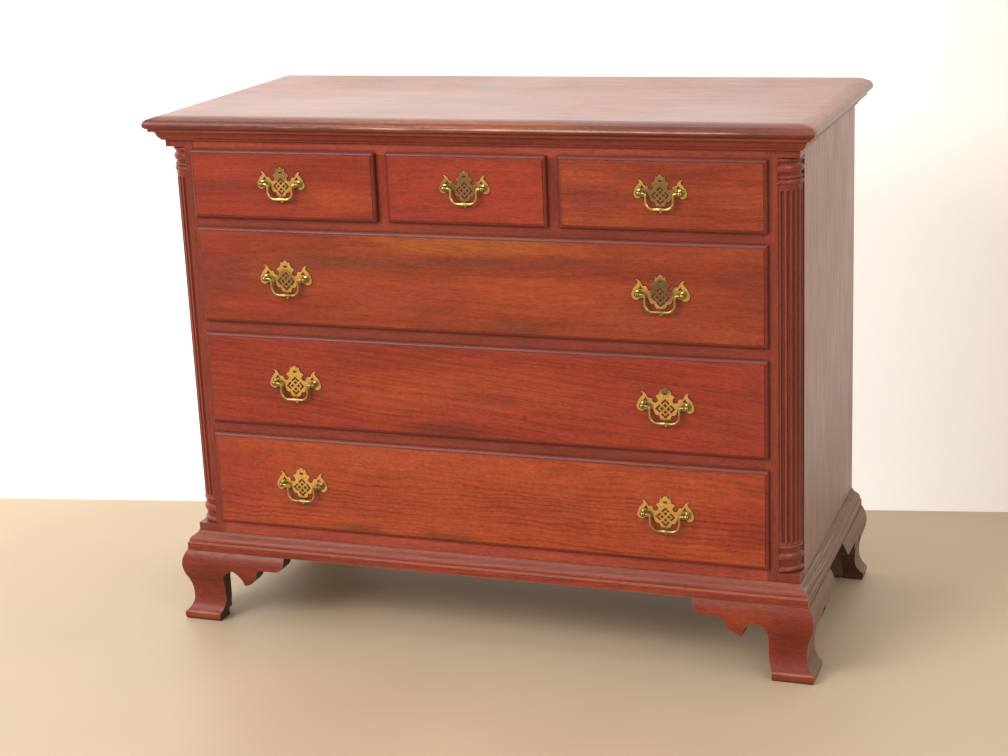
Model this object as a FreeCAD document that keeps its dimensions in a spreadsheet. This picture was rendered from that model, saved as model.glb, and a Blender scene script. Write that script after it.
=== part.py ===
"""Chippendale-style chest: three small drawers over three long ones, fluted quarter columns,
ogee bracket feet and pierced brass bail pulls.

Millimetres, +Z up, the front faces -Y.  The origin is under the middle of the whole chest, on the floor.
"""
import FreeCAD, Part
import os
import re
import Sketcher
from FreeCAD import Vector

# ----------------------------------------------------------------------------------------------
# Driving dimensions
# ----------------------------------------------------------------------------------------------
DIMENSIONS = [
    # case
    ("case_width", 1036, "width over the side panels"),
    ("case_depth", 456, "front frame face to back edge of the sides"),
    ("side_thickness", 20, "side panel thickness"),
    ("post_width", 51, "front corner post, across the front"),
    ("frame_depth", 55, "front to back depth of posts, rails and blades"),
    ("foot_height", 123.5, "floor to underside of the base moulding"),
    ("bottom_rail_height", 56, "rail under the bottom drawer"),
    ("bottom_opening_height", 152, "opening of the bottom drawer"),
    ("lower_blade_thickness", 26.5, "blade over the bottom drawer"),
    ("third_opening_height", 147, "opening of the third drawer"),
    ("middle_blade_thickness", 27, "blade over the third drawer"),
    ("second_opening_height", 150, "opening of the second drawer"),
    ("upper_blade_thickness", 24.5, "blade under the small drawers"),
    ("top_opening_height", 103, "openings of the three small drawers"),
    ("top_rail_height", 37.5, "rail over the small drawers"),
    ("middle_opening_width", 255, "opening of the middle small drawer"),
    ("divider_thickness", 26.5, "upright between two small drawers"),
    ("bottom_board_thickness", 18, "board that closes the case below"),
    ("back_thickness", 12, "back boards"),
    ("back_rabbet", 10, "how far the back boards run into the sides"),
    ("back_board_count", 3, "number of back boards"),
    # top board
    ("top_thickness", 20, "top board thickness"),
    ("top_overhang", 26.5, "nose of the top past the case, front and sides"),
    ("top_back_overhang", 21, "top past the case at the back"),
    ("nose_rise", 7.5, "underside of the top to the widest line of its nose"),
    ("nose_round_width", 26, "width of the flattened round on the top's upper edge"),
    ("nose_under_round", 6.5, "width of the small round under the nose"),
    # cornice moulding under the top
    ("cornice_height", 19.5, "bed moulding under the top"),
    ("cornice_projection", 20, "fascia of the bed moulding past the case"),
    ("cornice_fascia", 4.5, "height of the fascia"),
    ("cornice_fillet", 5, "width of the bottom fillet"),
    ("cornice_quirk", 6, "step between fascia and ogee"),
    # base moulding
    ("base_height", 31.5, "height of the base moulding"),
    ("base_projection", 17.2, "face of the base moulding past the case"),
    ("base_band", 12.5, "height of the plain band"),
    ("base_bead", 1.5, "height of each fine fillet over the band"),
    ("base_step", 1.4, "set-back of each fine fillet"),
    ("base_top_fillet", 1.8, "fillet where the moulding meets the case"),
    # quarter columns
    ("column_inset", 33, "side of the square notch that holds a quarter column"),
    ("column_foot_rise", 45.1, "underside of the case to the foot of the column"),
    ("column_head_drop", 31, "underside of the top to the head of the column"),
    ("column_end", 1, "plain neck at each end of the column"),
    ("column_shaft_radius", 30.8, "radius of the fluted shaft"),
    ("column_neck_radius", 29.8, "radius of the grooves between the rings"),
    ("column_torus", 13, "height of the torus at each end"),
    ("foot_ring", 9, "lowest ring"),
    ("foot_ring_groove", 9.5, "groove between the lowest ring and the torus"),
    ("foot_torus_groove", 7.5, "groove between the torus and the bead"),
    ("foot_bead", 4.5, "bead under the shaft"),
    ("head_ring", 8.5, "ring over the shaft"),
    ("head_line", 0.6, "fine line between that ring and the next"),
    ("head_bead", 4.6, "thinner ring over it"),
    ("head_bead_groove", 3.8, "groove under the upper torus"),
    ("head_torus_groove", 3.5, "groove over the upper torus"),
    ("cap_ring", 6.5, "highest ring"),
    ("flute_radius", 3.3, "radius of a flute"),
    ("flute_depth", 2.5, "depth of a flute"),
    ("flute_count", 5, "flutes on a quarter column"),
    ("flute_pitch", 16.4, "angle between flutes, degrees"),
    ("flute_foot_margin", 3, "plain shaft under a flute"),
    ("flute_head_margin", 7.5, "plain shaft over a flute"),
    # feet
    ("foot_stock", 35, "thickness of the stock that the ogee is cut from"),
    ("foot_toe", 27.5, "toe of the foot past the case"),
    ("foot_bulge", 26.3, "bulge of the ogee past the case"),
    ("foot_bulge_rise", 100.5, "height of the bulge"),
    ("foot_waist", 13.8, "waist of the ogee past the case"),
    ("foot_waist_rise", 41, "height of the waist"),
    ("foot_toe_rise", 12, "height of the sharp edge of the toe"),
    ("foot_wing", 164.6, "length of the front bracket from the case corner"),
    ("foot_side_wing", 152, "length of the front foot's bracket along the side"),
    ("foot_rear_wing", 190, "length of the rear foot's bracket along the side"),
    ("foot_wing_depth", 23.5, "depth of the bracket at its wing"),
    ("foot_wing_round", 15, "radius at the lower corner of the wing"),
    ("foot_drop_place", 89, "case corner to the point of the pendant"),
    ("foot_drop", 56.5, "moulding to the point of the pendant"),
    ("foot_arch", 29.8, "moulding to the crown of the arch"),
    ("foot_leg", 46.5, "case corner to the inner edge of the leg"),
    ("foot_toe_inner", 39, "case corner to the inner edge of the toe"),
    ("foot_back_thickness", 20, "plain bracket across the back"),
    ("foot_back_wing", 140, "length of the plain bracket at the top"),
    ("glue_block", 24, "side of the square block inside each foot"),
    ("glue_block_lift", 6, "floor to the underside of that block"),
    # drawers
    ("lip_overlap", 4, "drawer lip over the frame"),
    ("lip_thickness", 7.5, "drawer lip past the frame"),
    ("lip_gap", 0.3, "drawer lip to the frame"),
    ("lip_edge", 2.2, "thickness of the lip at its edge"),
    ("lip_moulding", 5.5, "width of the thumbnail moulding round a drawer"),
    ("lip_fillet", 1.1, "step between the field and the thumbnail"),
    ("front_tongue", 14, "drawer front inside the opening"),
    ("drawer_play", 1.5, "drawer to opening, sides and top"),
    ("running_gap", 0.3, "drawer side to runner"),
    ("drawer_side", 11, "drawer side and back thickness"),
    ("drawer_bottom", 6, "drawer bottom thickness"),
    ("drawer_bottom_rise", 12, "lower edge of the sides to the drawer bottom"),
    ("drawer_groove", 5, "groove for the drawer bottom"),
    ("drawer_back_room", 12, "drawer back to back boards"),
    ("drawer_side_drop", 6, "top of the front's tongue to the top of the drawer sides"),
    ("top_left_ajar", 2.5, "how far the left small drawer stands out at rest"),
    # runners
    ("runner_reach", 46, "runner width from the side panel"),
    ("runner_thickness", 20, "runner thickness"),
    ("guide_height", 16, "height of the guide on a runner"),
    ("centre_runner_width", 66, "runner under a divider"),
    # pulls
    ("second_pull_left", 152, "left pull of the second drawer to the end of its opening"),
    ("second_pull_right", 159, "right pull of the second drawer to the end of its opening"),
    ("third_pull_left", 155, "left pull of the third drawer to the end of its opening"),
    ("third_pull_right", 155, "right pull of the third drawer to the end of its opening"),
    ("bottom_pull_left", 153.5, "left pull of the bottom drawer to the end of its opening"),
    ("bottom_pull_right", 158, "right pull of the bottom drawer to the end of its opening"),
    ("small_pull_rise", 3.5, "posts over the middle of a small drawer"),
    ("long_pull_rise", -0.5, "posts over the middle of a long drawer"),
    ("long_post_spacing", 70, "posts of a long drawer's pull"),
    ("small_post_spacing", 63, "posts of a small drawer's pull"),
    ("plate_thickness", 1.4, "brass plate"),
    ("post_reach", 6.5, "plate face to the bail pivot"),
    ("post_ball", 4.6, "radius of a post's ball head"),
    ("post_neck", 2.4, "radius of a post's neck"),
    ("post_collar", 5.6, "radius of the collar on the plate"),
    ("collar_edge", 0.8, "thickness of the collar at its edge"),
    ("collar_height", 2.2, "plate face to the top of the collar"),
    ("shank_radius", 2, "post shank through the front"),
    ("shank_play", 0.15, "shank to its hole"),
    ("nut_radius", 5, "nut inside the drawer"),
    ("nut_thickness", 3, "nut thickness"),
    ("shank_end", 2, "shank past its nut"),
    ("bail_radius", 1.9, "radius of the bail"),
    ("bail_play", 0.08, "bail pin to its hole"),
    ("bail_swell", 2.9, "radius of the bail's swollen middle"),
]

doc = FreeCAD.newDocument("chest")
sheet = doc.addObject("Spreadsheet::Sheet", "Dims")
for line, (alias, value, meaning) in enumerate(DIMENSIONS, start=1):
    sheet.set(f"A{line}", meaning)
    sheet.set(f"B{line}", str(value))
    sheet.setAlias(f"B{line}", alias)
doc.recompute()

# ----------------------------------------------------------------------------------------------
# Places worked out from the driving dimensions
# ----------------------------------------------------------------------------------------------
PLACES = [
    ("pull_reach", "lip_gap + lip_thickness + plate_thickness + post_reach + post_ball"),
    ("front_reach", "max(foot_toe; pull_reach + top_left_ajar)"),
    ("front_y", "-(front_reach + case_depth + top_back_overhang) / 2 + front_reach"),
    ("frame_y", "front_y + frame_depth"),
    ("back_y", "front_y + case_depth"),
    ("inside_y", "back_y - back_thickness"),
    ("half_case", "case_width / 2"),
    ("half_inside", "half_case - side_thickness"),
    ("half_opening", "half_case - post_width"),
    ("half_middle", "middle_opening_width / 2"),
    ("divider_outer", "half_middle + divider_thickness"),
    ("bottom_opening_z", "foot_height + bottom_rail_height"),
    ("lower_blade_z", "bottom_opening_z + bottom_opening_height"),
    ("third_opening_z", "lower_blade_z + lower_blade_thickness"),
    ("middle_blade_z", "third_opening_z + third_opening_height"),
    ("second_opening_z", "middle_blade_z + middle_blade_thickness"),
    ("upper_blade_z", "second_opening_z + second_opening_height"),
    ("top_opening_z", "upper_blade_z + upper_blade_thickness"),
    ("top_rail_z", "top_opening_z + top_opening_height"),
    ("case_top_z", "top_rail_z + top_rail_height"),
    ("column_x", "half_case - column_inset"),
    ("column_y", "front_y + column_inset"),
    ("column_foot_z", "foot_height + column_foot_rise"),
    ("column_head_z", "case_top_z - column_head_drop"),
    ("column_length", "column_head_z - column_foot_z"),
    ("foot_inner", "foot_toe - foot_stock"),
]
places = doc.addObject("App::VarSet", "Places")
OWNERS = {alias: "Dims." for alias, _, _ in DIMENSIONS}
WORD = re.compile(r"[A-Za-z_]\w*")


def full(text):
    """An expression with each named size or place led back to the object that holds it."""
    return WORD.sub(lambda word: OWNERS.get(word.group(0), "") + word.group(0), str(text))


def number(text):
    """What an expression comes to now."""
    return float(sheet.evalExpression(full(text)))


for name, text in PLACES:
    places.addProperty("App::PropertyFloat", name, "Places")
    places.setExpression(name, full(text))
    OWNERS[name] = "Places."
    doc.recompute()


def bind(thing, **sizes):
    """Tie properties of an object to expressions.  A double underscore stands for a dot."""
    for name, text in sizes.items():
        thing.setExpression(name.replace("__", "."), full(text))


def put(thing, across=0, along=0, up=0):
    """Tie an object's place to three expressions."""
    bind(thing, Placement__Base__x=across, Placement__Base__y=along, Placement__Base__z=up)
    return thing


# ----------------------------------------------------------------------------------------------
# Ways of making a piece
# ----------------------------------------------------------------------------------------------
SUBPARTS = []


def keep(thing, label):
    """Name an object as one of the chest's sub-parts."""
    thing.Label = label
    SUBPARTS.append(thing)
    return thing


def board(name, low, high):
    """A rectangular board between two corners."""
    box = doc.addObject("Part::Box", name)
    bind(
        box,
        Length=f"({high[0]}) - ({low[0]})",
        Width=f"({high[1]}) - ({low[1]})",
        Height=f"({high[2]}) - ({low[2]})",
    )
    return put(box, *low)


def mirrored(name, source):
    """The same piece on the other side of the chest."""
    twin = doc.addObject("Part::Mirroring", name)
    twin.Source = source
    twin.Normal = Vector(1, 0, 0)
    return twin


def group(name, members):
    """Several separate solids of one kind, kept together."""
    bundle = doc.addObject("Part::Compound", name)
    bundle.Links = members
    return bundle


def copy_of(name, source, across=0, along=0, up=0):
    """A further copy of a piece at a place of its own."""
    link = doc.addObject("App::Link", name)
    link.LinkedObject = source
    return put(link, across, along, up)


def body(name):
    return doc.addObject("PartDesign::Body", name)


def sketch(owner, plane, name, shift=0):
    """A sketch on one of the body's own planes, moved along that plane's normal."""
    drawing = owner.newObject("Sketcher::SketchObject", name)
    base = next(item for item in owner.Origin.OriginFeatures if item.Role == plane)
    drawing.AttachmentSupport = [(base, "")]
    drawing.MapMode = "FlatFace"
    if shift:
        bind(drawing, AttachmentOffset__Base__z=shift)
    return drawing


def pin_down(drawing, geometry, end, place):
    """Tie one point of a sketch to a pair of expressions."""
    for kind, text in zip(("DistanceX", "DistanceY"), place):
        index = drawing.addConstraint(
            Sketcher.Constraint(kind, -1, 1, geometry, end, number(text))
        )
        drawing.setExpression(f"Constraints[{index}]", full(text))


def start_of(drawing, geometry, spot):
    """Which end of a curve lies at a spot."""
    near = [drawing.getPoint(geometry, end).distanceToPoint(spot) for end in (1, 2)]
    return 1 if near[0] <= near[1] else 2


def spot_of(place):
    return Vector(number(place[0]), number(place[1]), 0)


def outline(drawing, stops):
    """Draw a closed outline through its corners.  A stop is (x, y), or (x, y, over_x, over_y) where
    the run from the stop before it is an arc that passes over a third point."""
    corners = [stop[:2] for stop in stops]
    first = None
    last = None
    for begin, finish, stop in zip(corners, corners[1:] + corners[:1], stops[1:] + stops[:1]):
        tail = spot_of(begin)
        head = spot_of(finish)
        if len(stop) == 2:
            curve = drawing.addGeometry(Part.LineSegment(tail, head), False)
        else:
            curve = drawing.addGeometry(Part.Arc(tail, spot_of(stop[2:]), head), False)
        near_end = start_of(drawing, curve, tail)
        far_end = 3 - near_end
        pin_down(drawing, curve, near_end, begin)
        if last is None:
            first = (curve, near_end)
        else:
            drawing.addConstraint(Sketcher.Constraint("Coincident", *last, curve, near_end))
        last = (curve, far_end)
        if len(stop) > 2:
            mark = drawing.addGeometry(Part.Point(spot_of(stop[2:])), True)
            pin_down(drawing, mark, 1, stop[2:])
            drawing.addConstraint(Sketcher.Constraint("PointOnObject", mark, 1, curve))
    drawing.addConstraint(Sketcher.Constraint("Coincident", *last, *first))


def circle(drawing, across, up, radius):
    """Draw a circle."""
    ring = drawing.addGeometry(Part.Circle(spot_of((across, up)), Vector(0, 0, 1), number(radius)), False)
    pin_down(drawing, ring, 3, (across, up))
    index = drawing.addConstraint(Sketcher.Constraint("Radius", ring, number(radius)))
    drawing.setExpression(f"Constraints[{index}]", full(radius))


def pad(owner, drawing, length, middle=False, back=False):
    """Raise a sketch by a length, to both sides of its plane where middle is set."""
    feature = owner.newObject("PartDesign::Pad", drawing.Name + "_pad")
    feature.Profile = drawing
    feature.SideType = "Symmetric" if middle else "One side"
    feature.Reversed = back
    bind(feature, Length=length)
    owner.Tip = feature
    return feature


def cut(owner, drawing, length=None, back=False):
    """Cut a sketch through the piece, or to a length on one side of its plane."""
    doc.recompute()
    before = owner.Shape.Volume
    feature = owner.newObject("PartDesign::Pocket", drawing.Name + "_cut")
    feature.Profile = drawing
    if length is None:
        feature.Type = "ThroughAll"
        feature.SideType = "Symmetric"
    else:
        feature.Type = "Length"
        feature.Reversed = back
        bind(feature, Length=length)
    owner.Tip = feature
    doc.recompute()
    if owner.Shape.Volume >= before:
        raise RuntimeError(f"{drawing.Name} cuts nothing")
    return feature


def backwards(stops):
    """The same run of stops from its end to its start."""
    corners = [stop[:2] for stop in stops]
    overs = [stop[2:] for stop in stops]
    return corners[-1:] + [corner + over for corner, over in zip(corners[-2::-1], overs[:0:-1])]


def flipped(stops):
    """An outline on the other side of the middle line."""
    signs = ("-", "", "-", "")
    return [tuple(f"{sign}({text})" for sign, text in zip(signs, stop)) for stop in stops]


# ----------------------------------------------------------------------------------------------
# Top board: flattened round over a small round, mitred at the front corners
# ----------------------------------------------------------------------------------------------
def nose(edge, inward):
    """The moulded edge of the top from its upper face to its underside.  edge is where the nose ends
    and inward the sign that leads back into the board."""
    return [
        (f"{edge} {inward} nose_round_width", "case_top_z + top_thickness"),
        (
            f"{edge} {inward} 0.2 * nose_round_width",
            "case_top_z + nose_rise + 0.62 * (top_thickness - nose_rise)",
            f"{edge} {inward} 0.56 * nose_round_width",
            "case_top_z + nose_rise + 0.87 * (top_thickness - nose_rise)",
        ),
        (
            edge,
            "case_top_z + nose_rise",
            f"{edge} {inward} 0.05 * nose_round_width",
            "case_top_z + nose_rise + 0.3 * (top_thickness - nose_rise)",
        ),
        (
            f"{edge} {inward} nose_under_round",
            "case_top_z",
            f"{edge} {inward} 0.29 * nose_under_round",
            "case_top_z + 0.29 * nose_rise",
        ),
    ]


def make_top_board():
    top = body("top_board_body")
    section = sketch(top, "YZ_Plane", "top_section")
    back_edge = "back_y + top_back_overhang"
    square_edge = [(back_edge, "case_top_z"), (back_edge, "case_top_z + top_thickness")]
    outline(section, square_edge + nose("front_y - top_overhang", "+"))
    pad(top, section, "case_width + 2 * top_overhang", middle=True)
    ends = sketch(top, "XZ_Plane", "top_ends")
    edge = "half_case + top_overhang"
    waste = nose(edge, "-") + [
        (f"{edge} - nose_under_round", "case_top_z - top_thickness"),
        (f"{edge} + top_thickness", "case_top_z - top_thickness"),
        (f"{edge} + top_thickness", "case_top_z + 2 * top_thickness"),
        (f"{edge} - nose_round_width", "case_top_z + 2 * top_thickness"),
    ]
    outline(ends, waste)
    outline(ends, flipped(waste))
    cut(top, ends)
    keep(top, "top_board")


# ----------------------------------------------------------------------------------------------
# Mouldings: a strip across the front mitred to a strip along each side
# ----------------------------------------------------------------------------------------------
def cornice_section(face, out):
    """Bed moulding: fillet, ogee, step and fascia, from the case face outwards."""
    low = "case_top_z - cornice_height"
    ogee_top = "case_top_z - cornice_fascia"
    ogee_edge = "(cornice_projection - cornice_quirk)"
    reach = "(cornice_projection - cornice_quirk - cornice_fillet)"
    rise = "(cornice_height - cornice_fascia - 2.5)"
    return [
        (face, low),
        (f"{face} {out} cornice_fillet", low),
        (f"{face} {out} cornice_fillet", f"{low} + 1.5"),
        (
            f"{face} {out} (cornice_fillet + 0.6 * {reach})",
            f"{low} + 1.5 + 0.6 * {rise}",
            f"{face} {out} (cornice_fillet + 0.38 * {reach})",
            f"{low} + 1.5 + 0.26 * {rise}",
        ),
        (
            f"{face} {out} {ogee_edge}",
            f"{ogee_top} - 1",
            f"{face} {out} (cornice_fillet + 0.74 * {reach})",
            f"{low} + 1.5 + 0.84 * {rise}",
        ),
        (f"{face} {out} {ogee_edge}", ogee_top),
        (f"{face} {out} cornice_projection", ogee_top),
        (f"{face} {out} cornice_projection", "case_top_z"),
        (face, "case_top_z"),
    ]


def base_section(face, out):
    """Base moulding: band, two fine fillets, ogee and a top fillet."""
    top = "foot_height + base_height"
    ogee_low = "foot_height + base_band + 2 * base_bead"
    ogee_edge = "(base_projection - 2 * base_step)"
    reach = "(base_projection - 2 * base_step - base_top_fillet)"
    rise = "(base_height - base_band - 2 * base_bead - 1.5)"
    return [
        (face, "foot_height"),
        (f"{face} {out} base_projection", "foot_height"),
        (f"{face} {out} base_projection", "foot_height + base_band"),
        (f"{face} {out} (base_projection - base_step)", "foot_height + base_band"),
        (f"{face} {out} (base_projection - base_step)", "foot_height + base_band + base_bead"),
        (f"{face} {out} {ogee_edge}", "foot_height + base_band + base_bead"),
        (f"{face} {out} {ogee_edge}", ogee_low),
        (
            f"{face} {out} (base_top_fillet + 0.5 * {reach})",
            f"{ogee_low} + 0.6 * {rise}",
            f"{face} {out} (base_top_fillet + 0.83 * {reach})",
            f"{ogee_low} + 0.41 * {rise}",
        ),
        (
            f"{face} {out} base_top_fillet",
            f"{top} - 1.5",
            f"{face} {out} (base_top_fillet + 0.22 * {reach})",
            f"{ogee_low} + 0.75 * {rise}",
        ),
        (f"{face} {out} base_top_fillet", top),
        (face, top),
    ]


def make_moulding(label, section, projection):
    """Three strips round the case, mitred at the front corners."""
    front = body(label + "_front_body")
    drawing = sketch(front, "YZ_Plane", label + "_front_section")
    outline(drawing, section("front_y", "-"))
    pad(front, drawing, f"case_width + 2 * {projection}", middle=True)
    mitre = sketch(front, "XY_Plane", label + "_front_mitre")
    waste = [
        ("half_case", "front_y"),
        (f"half_case + 2 * {projection}", "front_y"),
        (f"half_case + 2 * {projection}", f"front_y - 2 * {projection}"),
    ]
    outline(mitre, waste)
    outline(mitre, flipped(waste))
    cut(front, mitre)

    right = body(label + "_right_body")
    drawing = sketch(right, "XZ_Plane", label + "_right_section", f"-(front_y - {projection})")
    outline(drawing, section("half_case", "+"))
    pad(right, drawing, f"case_depth + {projection}", back=True)
    mitre = sketch(right, "XY_Plane", label + "_right_mitre")
    outline(
        mitre,
        [
            ("half_case", "front_y"),
            ("half_case", f"front_y - 2 * {projection}"),
            (f"half_case + 2 * {projection}", f"front_y - 2 * {projection}"),
        ],
    )
    cut(right, mitre)
    left = mirrored(label + "_left", right)
    keep(group(label + "_strips", [front, right, left]), label)


# ----------------------------------------------------------------------------------------------
# Case: sides, posts, rails, blades, dividers, back and bottom
# ----------------------------------------------------------------------------------------------
def make_sides():
    """Side panels with a rabbet at the back edge for the back boards."""
    panel = body("side_panel_right_body")
    plan = sketch(panel, "XY_Plane", "side_plan", "foot_height")
    outline(
        plan,
        [
            ("half_inside", "column_y"),
            ("half_case", "column_y"),
            ("half_case", "back_y"),
            ("half_case - back_rabbet", "back_y"),
            ("half_case - back_rabbet", "inside_y"),
            ("half_inside", "inside_y"),
        ],
    )
    pad(panel, plan, "case_top_z - foot_height")
    keep(panel, "side_panel_right")
    keep(mirrored("side_panel_left_mirror", panel), "side_panel_left")


def make_posts():
    """Corner posts, notched between plinth and head block for the quarter columns."""
    post = body("corner_post_right_body")
    plan = sketch(post, "XY_Plane", "post_plan", "foot_height")
    outline(
        plan,
        [
            ("half_opening", "front_y"),
            ("half_case", "front_y"),
            ("half_case", "column_y"),
            ("half_inside", "column_y"),
            ("half_inside", "frame_y"),
            ("half_opening", "frame_y"),
        ],
    )
    pad(post, plan, "case_top_z - foot_height")
    notch = sketch(post, "XY_Plane", "post_notch", "column_foot_z")
    outline(
        notch,
        [
            ("column_x", "front_y - column_inset"),
            ("half_case + column_inset", "front_y - column_inset"),
            ("half_case + column_inset", "column_y"),
            ("column_x", "column_y"),
        ],
    )
    cut(post, notch, "column_length", back=True)
    keep(post, "corner_post_right")
    keep(mirrored("corner_post_left_mirror", post), "corner_post_left")


def make_rails():
    """Top and bottom rails, the three blades and the two dividers."""

    def across(name, low, high):
        return board(name, ("-half_opening", "front_y", low), ("half_opening", "frame_y", high))

    keep(across("top_rail_board", "top_rail_z", "case_top_z"), "top_rail")
    keep(across("bottom_rail_board", "foot_height", "bottom_opening_z"), "bottom_rail")
    blades = [
        across("lower_blade", "lower_blade_z", "third_opening_z"),
        across("middle_blade", "middle_blade_z", "second_opening_z"),
        across("upper_blade", "upper_blade_z", "top_opening_z"),
    ]
    keep(group("blades", blades), "drawer_blades")
    right = board(
        "divider_right",
        ("half_middle", "front_y", "top_opening_z"),
        ("divider_outer", "frame_y", "top_rail_z"),
    )
    keep(group("dividers", [right, mirrored("divider_left", right)]), "drawer_dividers")


def make_back_and_bottom():
    """Back boards in the rabbets, and the board that closes the case below."""
    height = "(case_top_z - foot_height) / back_board_count"
    boards = []
    for row in range(int(number("back_board_count"))):
        boards.append(
            board(
                f"back_board_{row + 1}",
                ("-(half_case - back_rabbet)", "inside_y", f"foot_height + {row} * {height}"),
                ("half_case - back_rabbet", "back_y", f"foot_height + {row + 1} * {height}"),
            )
        )
    keep(group("back_board_set", boards), "back_boards")
    keep(
        board(
            "bottom_board_box",
            ("-half_inside", "frame_y", "bottom_opening_z - runner_thickness - bottom_board_thickness"),
            ("half_inside", "inside_y", "bottom_opening_z - runner_thickness"),
        ),
        "bottom_board",
    )


def make_runners():
    """Runners under the drawer sides, guides beside them, and kickers over the small drawers."""
    pieces = []
    for level in ("bottom", "third", "second", "top"):
        floor = f"{level}_opening_z"
        runner = board(
            f"{level}_runner",
            ("half_inside - runner_reach", "frame_y", f"{floor} - runner_thickness"),
            ("half_inside", "inside_y", floor),
        )
        guide = board(
            f"{level}_guide",
            ("half_opening", "frame_y", floor),
            ("half_inside", "inside_y", f"{floor} + guide_height"),
        )
        pieces += [runner, guide]
    divider_middle = "(half_middle + divider_outer) / 2"
    pieces.append(
        board(
            "divider_runner",
            (f"{divider_middle} - centre_runner_width / 2", "frame_y", "top_opening_z - runner_thickness"),
            (f"{divider_middle} + centre_runner_width / 2", "inside_y", "top_opening_z"),
        )
    )
    pieces.append(
        board(
            "divider_guide",
            ("half_middle", "frame_y", "top_opening_z"),
            ("divider_outer", "inside_y", "top_opening_z + guide_height"),
        )
    )
    pieces.append(
        board(
            "side_kicker",
            ("half_inside - runner_reach", "frame_y", "top_rail_z"),
            ("half_inside", "inside_y", "top_rail_z + runner_thickness"),
        )
    )
    pieces.append(
        board(
            "divider_kicker",
            (f"{divider_middle} - centre_runner_width / 2", "frame_y", "top_rail_z"),
            (f"{divider_middle} + centre_runner_width / 2", "inside_y", "top_rail_z + runner_thickness"),
        )
    )
    pieces += [mirrored(piece.Name + "_left", piece) for piece in pieces]
    keep(group("runner_set", pieces), "drawer_runners")


# ----------------------------------------------------------------------------------------------
# Quarter columns: turned rings and a fluted shaft
# ----------------------------------------------------------------------------------------------
COLUMN_FOOT = [
    ("foot_ring", "foot_ring_groove"),
    ("column_torus", "foot_torus_groove"),
    ("foot_bead", "0"),
]
COLUMN_HEAD = [
    ("head_ring", "head_line"),
    ("head_bead", "head_bead_groove"),
    ("column_torus", "head_torus_groove"),
    ("cap_ring", "0"),
]


def rings(low, run):
    """Half-round rings one over another on the turning, and the level where they end.  The run gives
    the height of each ring and of the groove over it."""
    root = "column_neck_radius"
    stops = []
    for height, groove in run:
        head = f"{low} + {height}"
        bulge = f"min(column_inset - {root}; 0.48 * {height})"
        stops.append((root, low))
        stops.append((root, head, f"{root} + {bulge}", f"{low} + {height} / 2"))
        low = f"{head} + {groove}"
    return stops, low


def make_columns():
    column = body("quarter_column_right_body")
    turning = sketch(column, "XZ_Plane", "column_turning")
    foot_rings, shaft_foot = rings("column_end", COLUMN_FOOT)
    head_height = " + ".join(f"{height} + {groove}" for height, groove in COLUMN_HEAD)
    shaft_head = f"column_length - column_end - ({head_height})"
    head_rings, _ = rings(shaft_head, COLUMN_HEAD)
    outline(
        turning,
        [("0", "0"), ("column_neck_radius", "0")]
        + foot_rings
        + [("column_shaft_radius", shaft_foot), ("column_shaft_radius", shaft_head)]
        + head_rings
        + [("column_neck_radius", "column_length"), ("0", "column_length")],
    )
    turned = column.newObject("PartDesign::Revolution", "column_turned")
    turned.Profile = turning
    turned.ReferenceAxis = (turning, ["V_Axis"])
    turned.Angle = 90
    turned.Reversed = True
    column.Tip = turned
    doc.recompute()

    flute = sketch(column, "XZ_Plane", "flute_section")
    flute.AttachmentOffset = FreeCAD.Placement(Vector(), FreeCAD.Rotation(Vector(0, 1, 0), 1))
    bind(flute, AttachmentOffset__Rotation__Angle="-(45 - (flute_count - 1) / 2 * flute_pitch)")
    axis = "column_shaft_radius + flute_radius - flute_depth"
    foot = f"{shaft_foot} + flute_foot_margin"
    head = f"{shaft_head} - flute_head_margin"
    outline(
        flute,
        [
            (axis, foot),
            (
                f"{axis} - flute_radius",
                f"{foot} + flute_radius",
                f"{axis} - 0.7071 * flute_radius",
                f"{foot} + 0.2929 * flute_radius",
            ),
            (f"{axis} - flute_radius", f"{head} - flute_radius"),
            (
                axis,
                head,
                f"{axis} - 0.7071 * flute_radius",
                f"{head} - 0.2929 * flute_radius",
            ),
        ],
    )
    line = flute.addGeometry(
        Part.LineSegment(spot_of((axis, foot)), spot_of((axis, head))), True
    )
    pin_down(flute, line, 1, (axis, foot))
    pin_down(flute, line, 2, (axis, head))
    doc.recompute()
    before = column.Shape.Volume
    groove = column.newObject("PartDesign::Groove", "flute")
    groove.Profile = flute
    groove.ReferenceAxis = (flute, ["Axis0"])
    groove.Angle = 360
    column.Tip = groove
    doc.recompute()
    if column.Shape.Volume >= before:
        raise RuntimeError("the flute cuts nothing")
    flutes = column.newObject("PartDesign::PolarPattern", "flutes")
    flutes.Originals = [groove]
    flutes.Axis = (turning, ["V_Axis"])
    flutes.Mode = "Spacing"
    flutes.Reversed = True
    bind(flutes, Offset="flute_pitch", Occurrences="flute_count")
    column.Tip = flutes
    put(column, "column_x", "column_y", "column_foot_z")
    keep(column, "quarter_column_right")
    keep(mirrored("quarter_column_left_mirror", column), "quarter_column_left")


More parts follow.
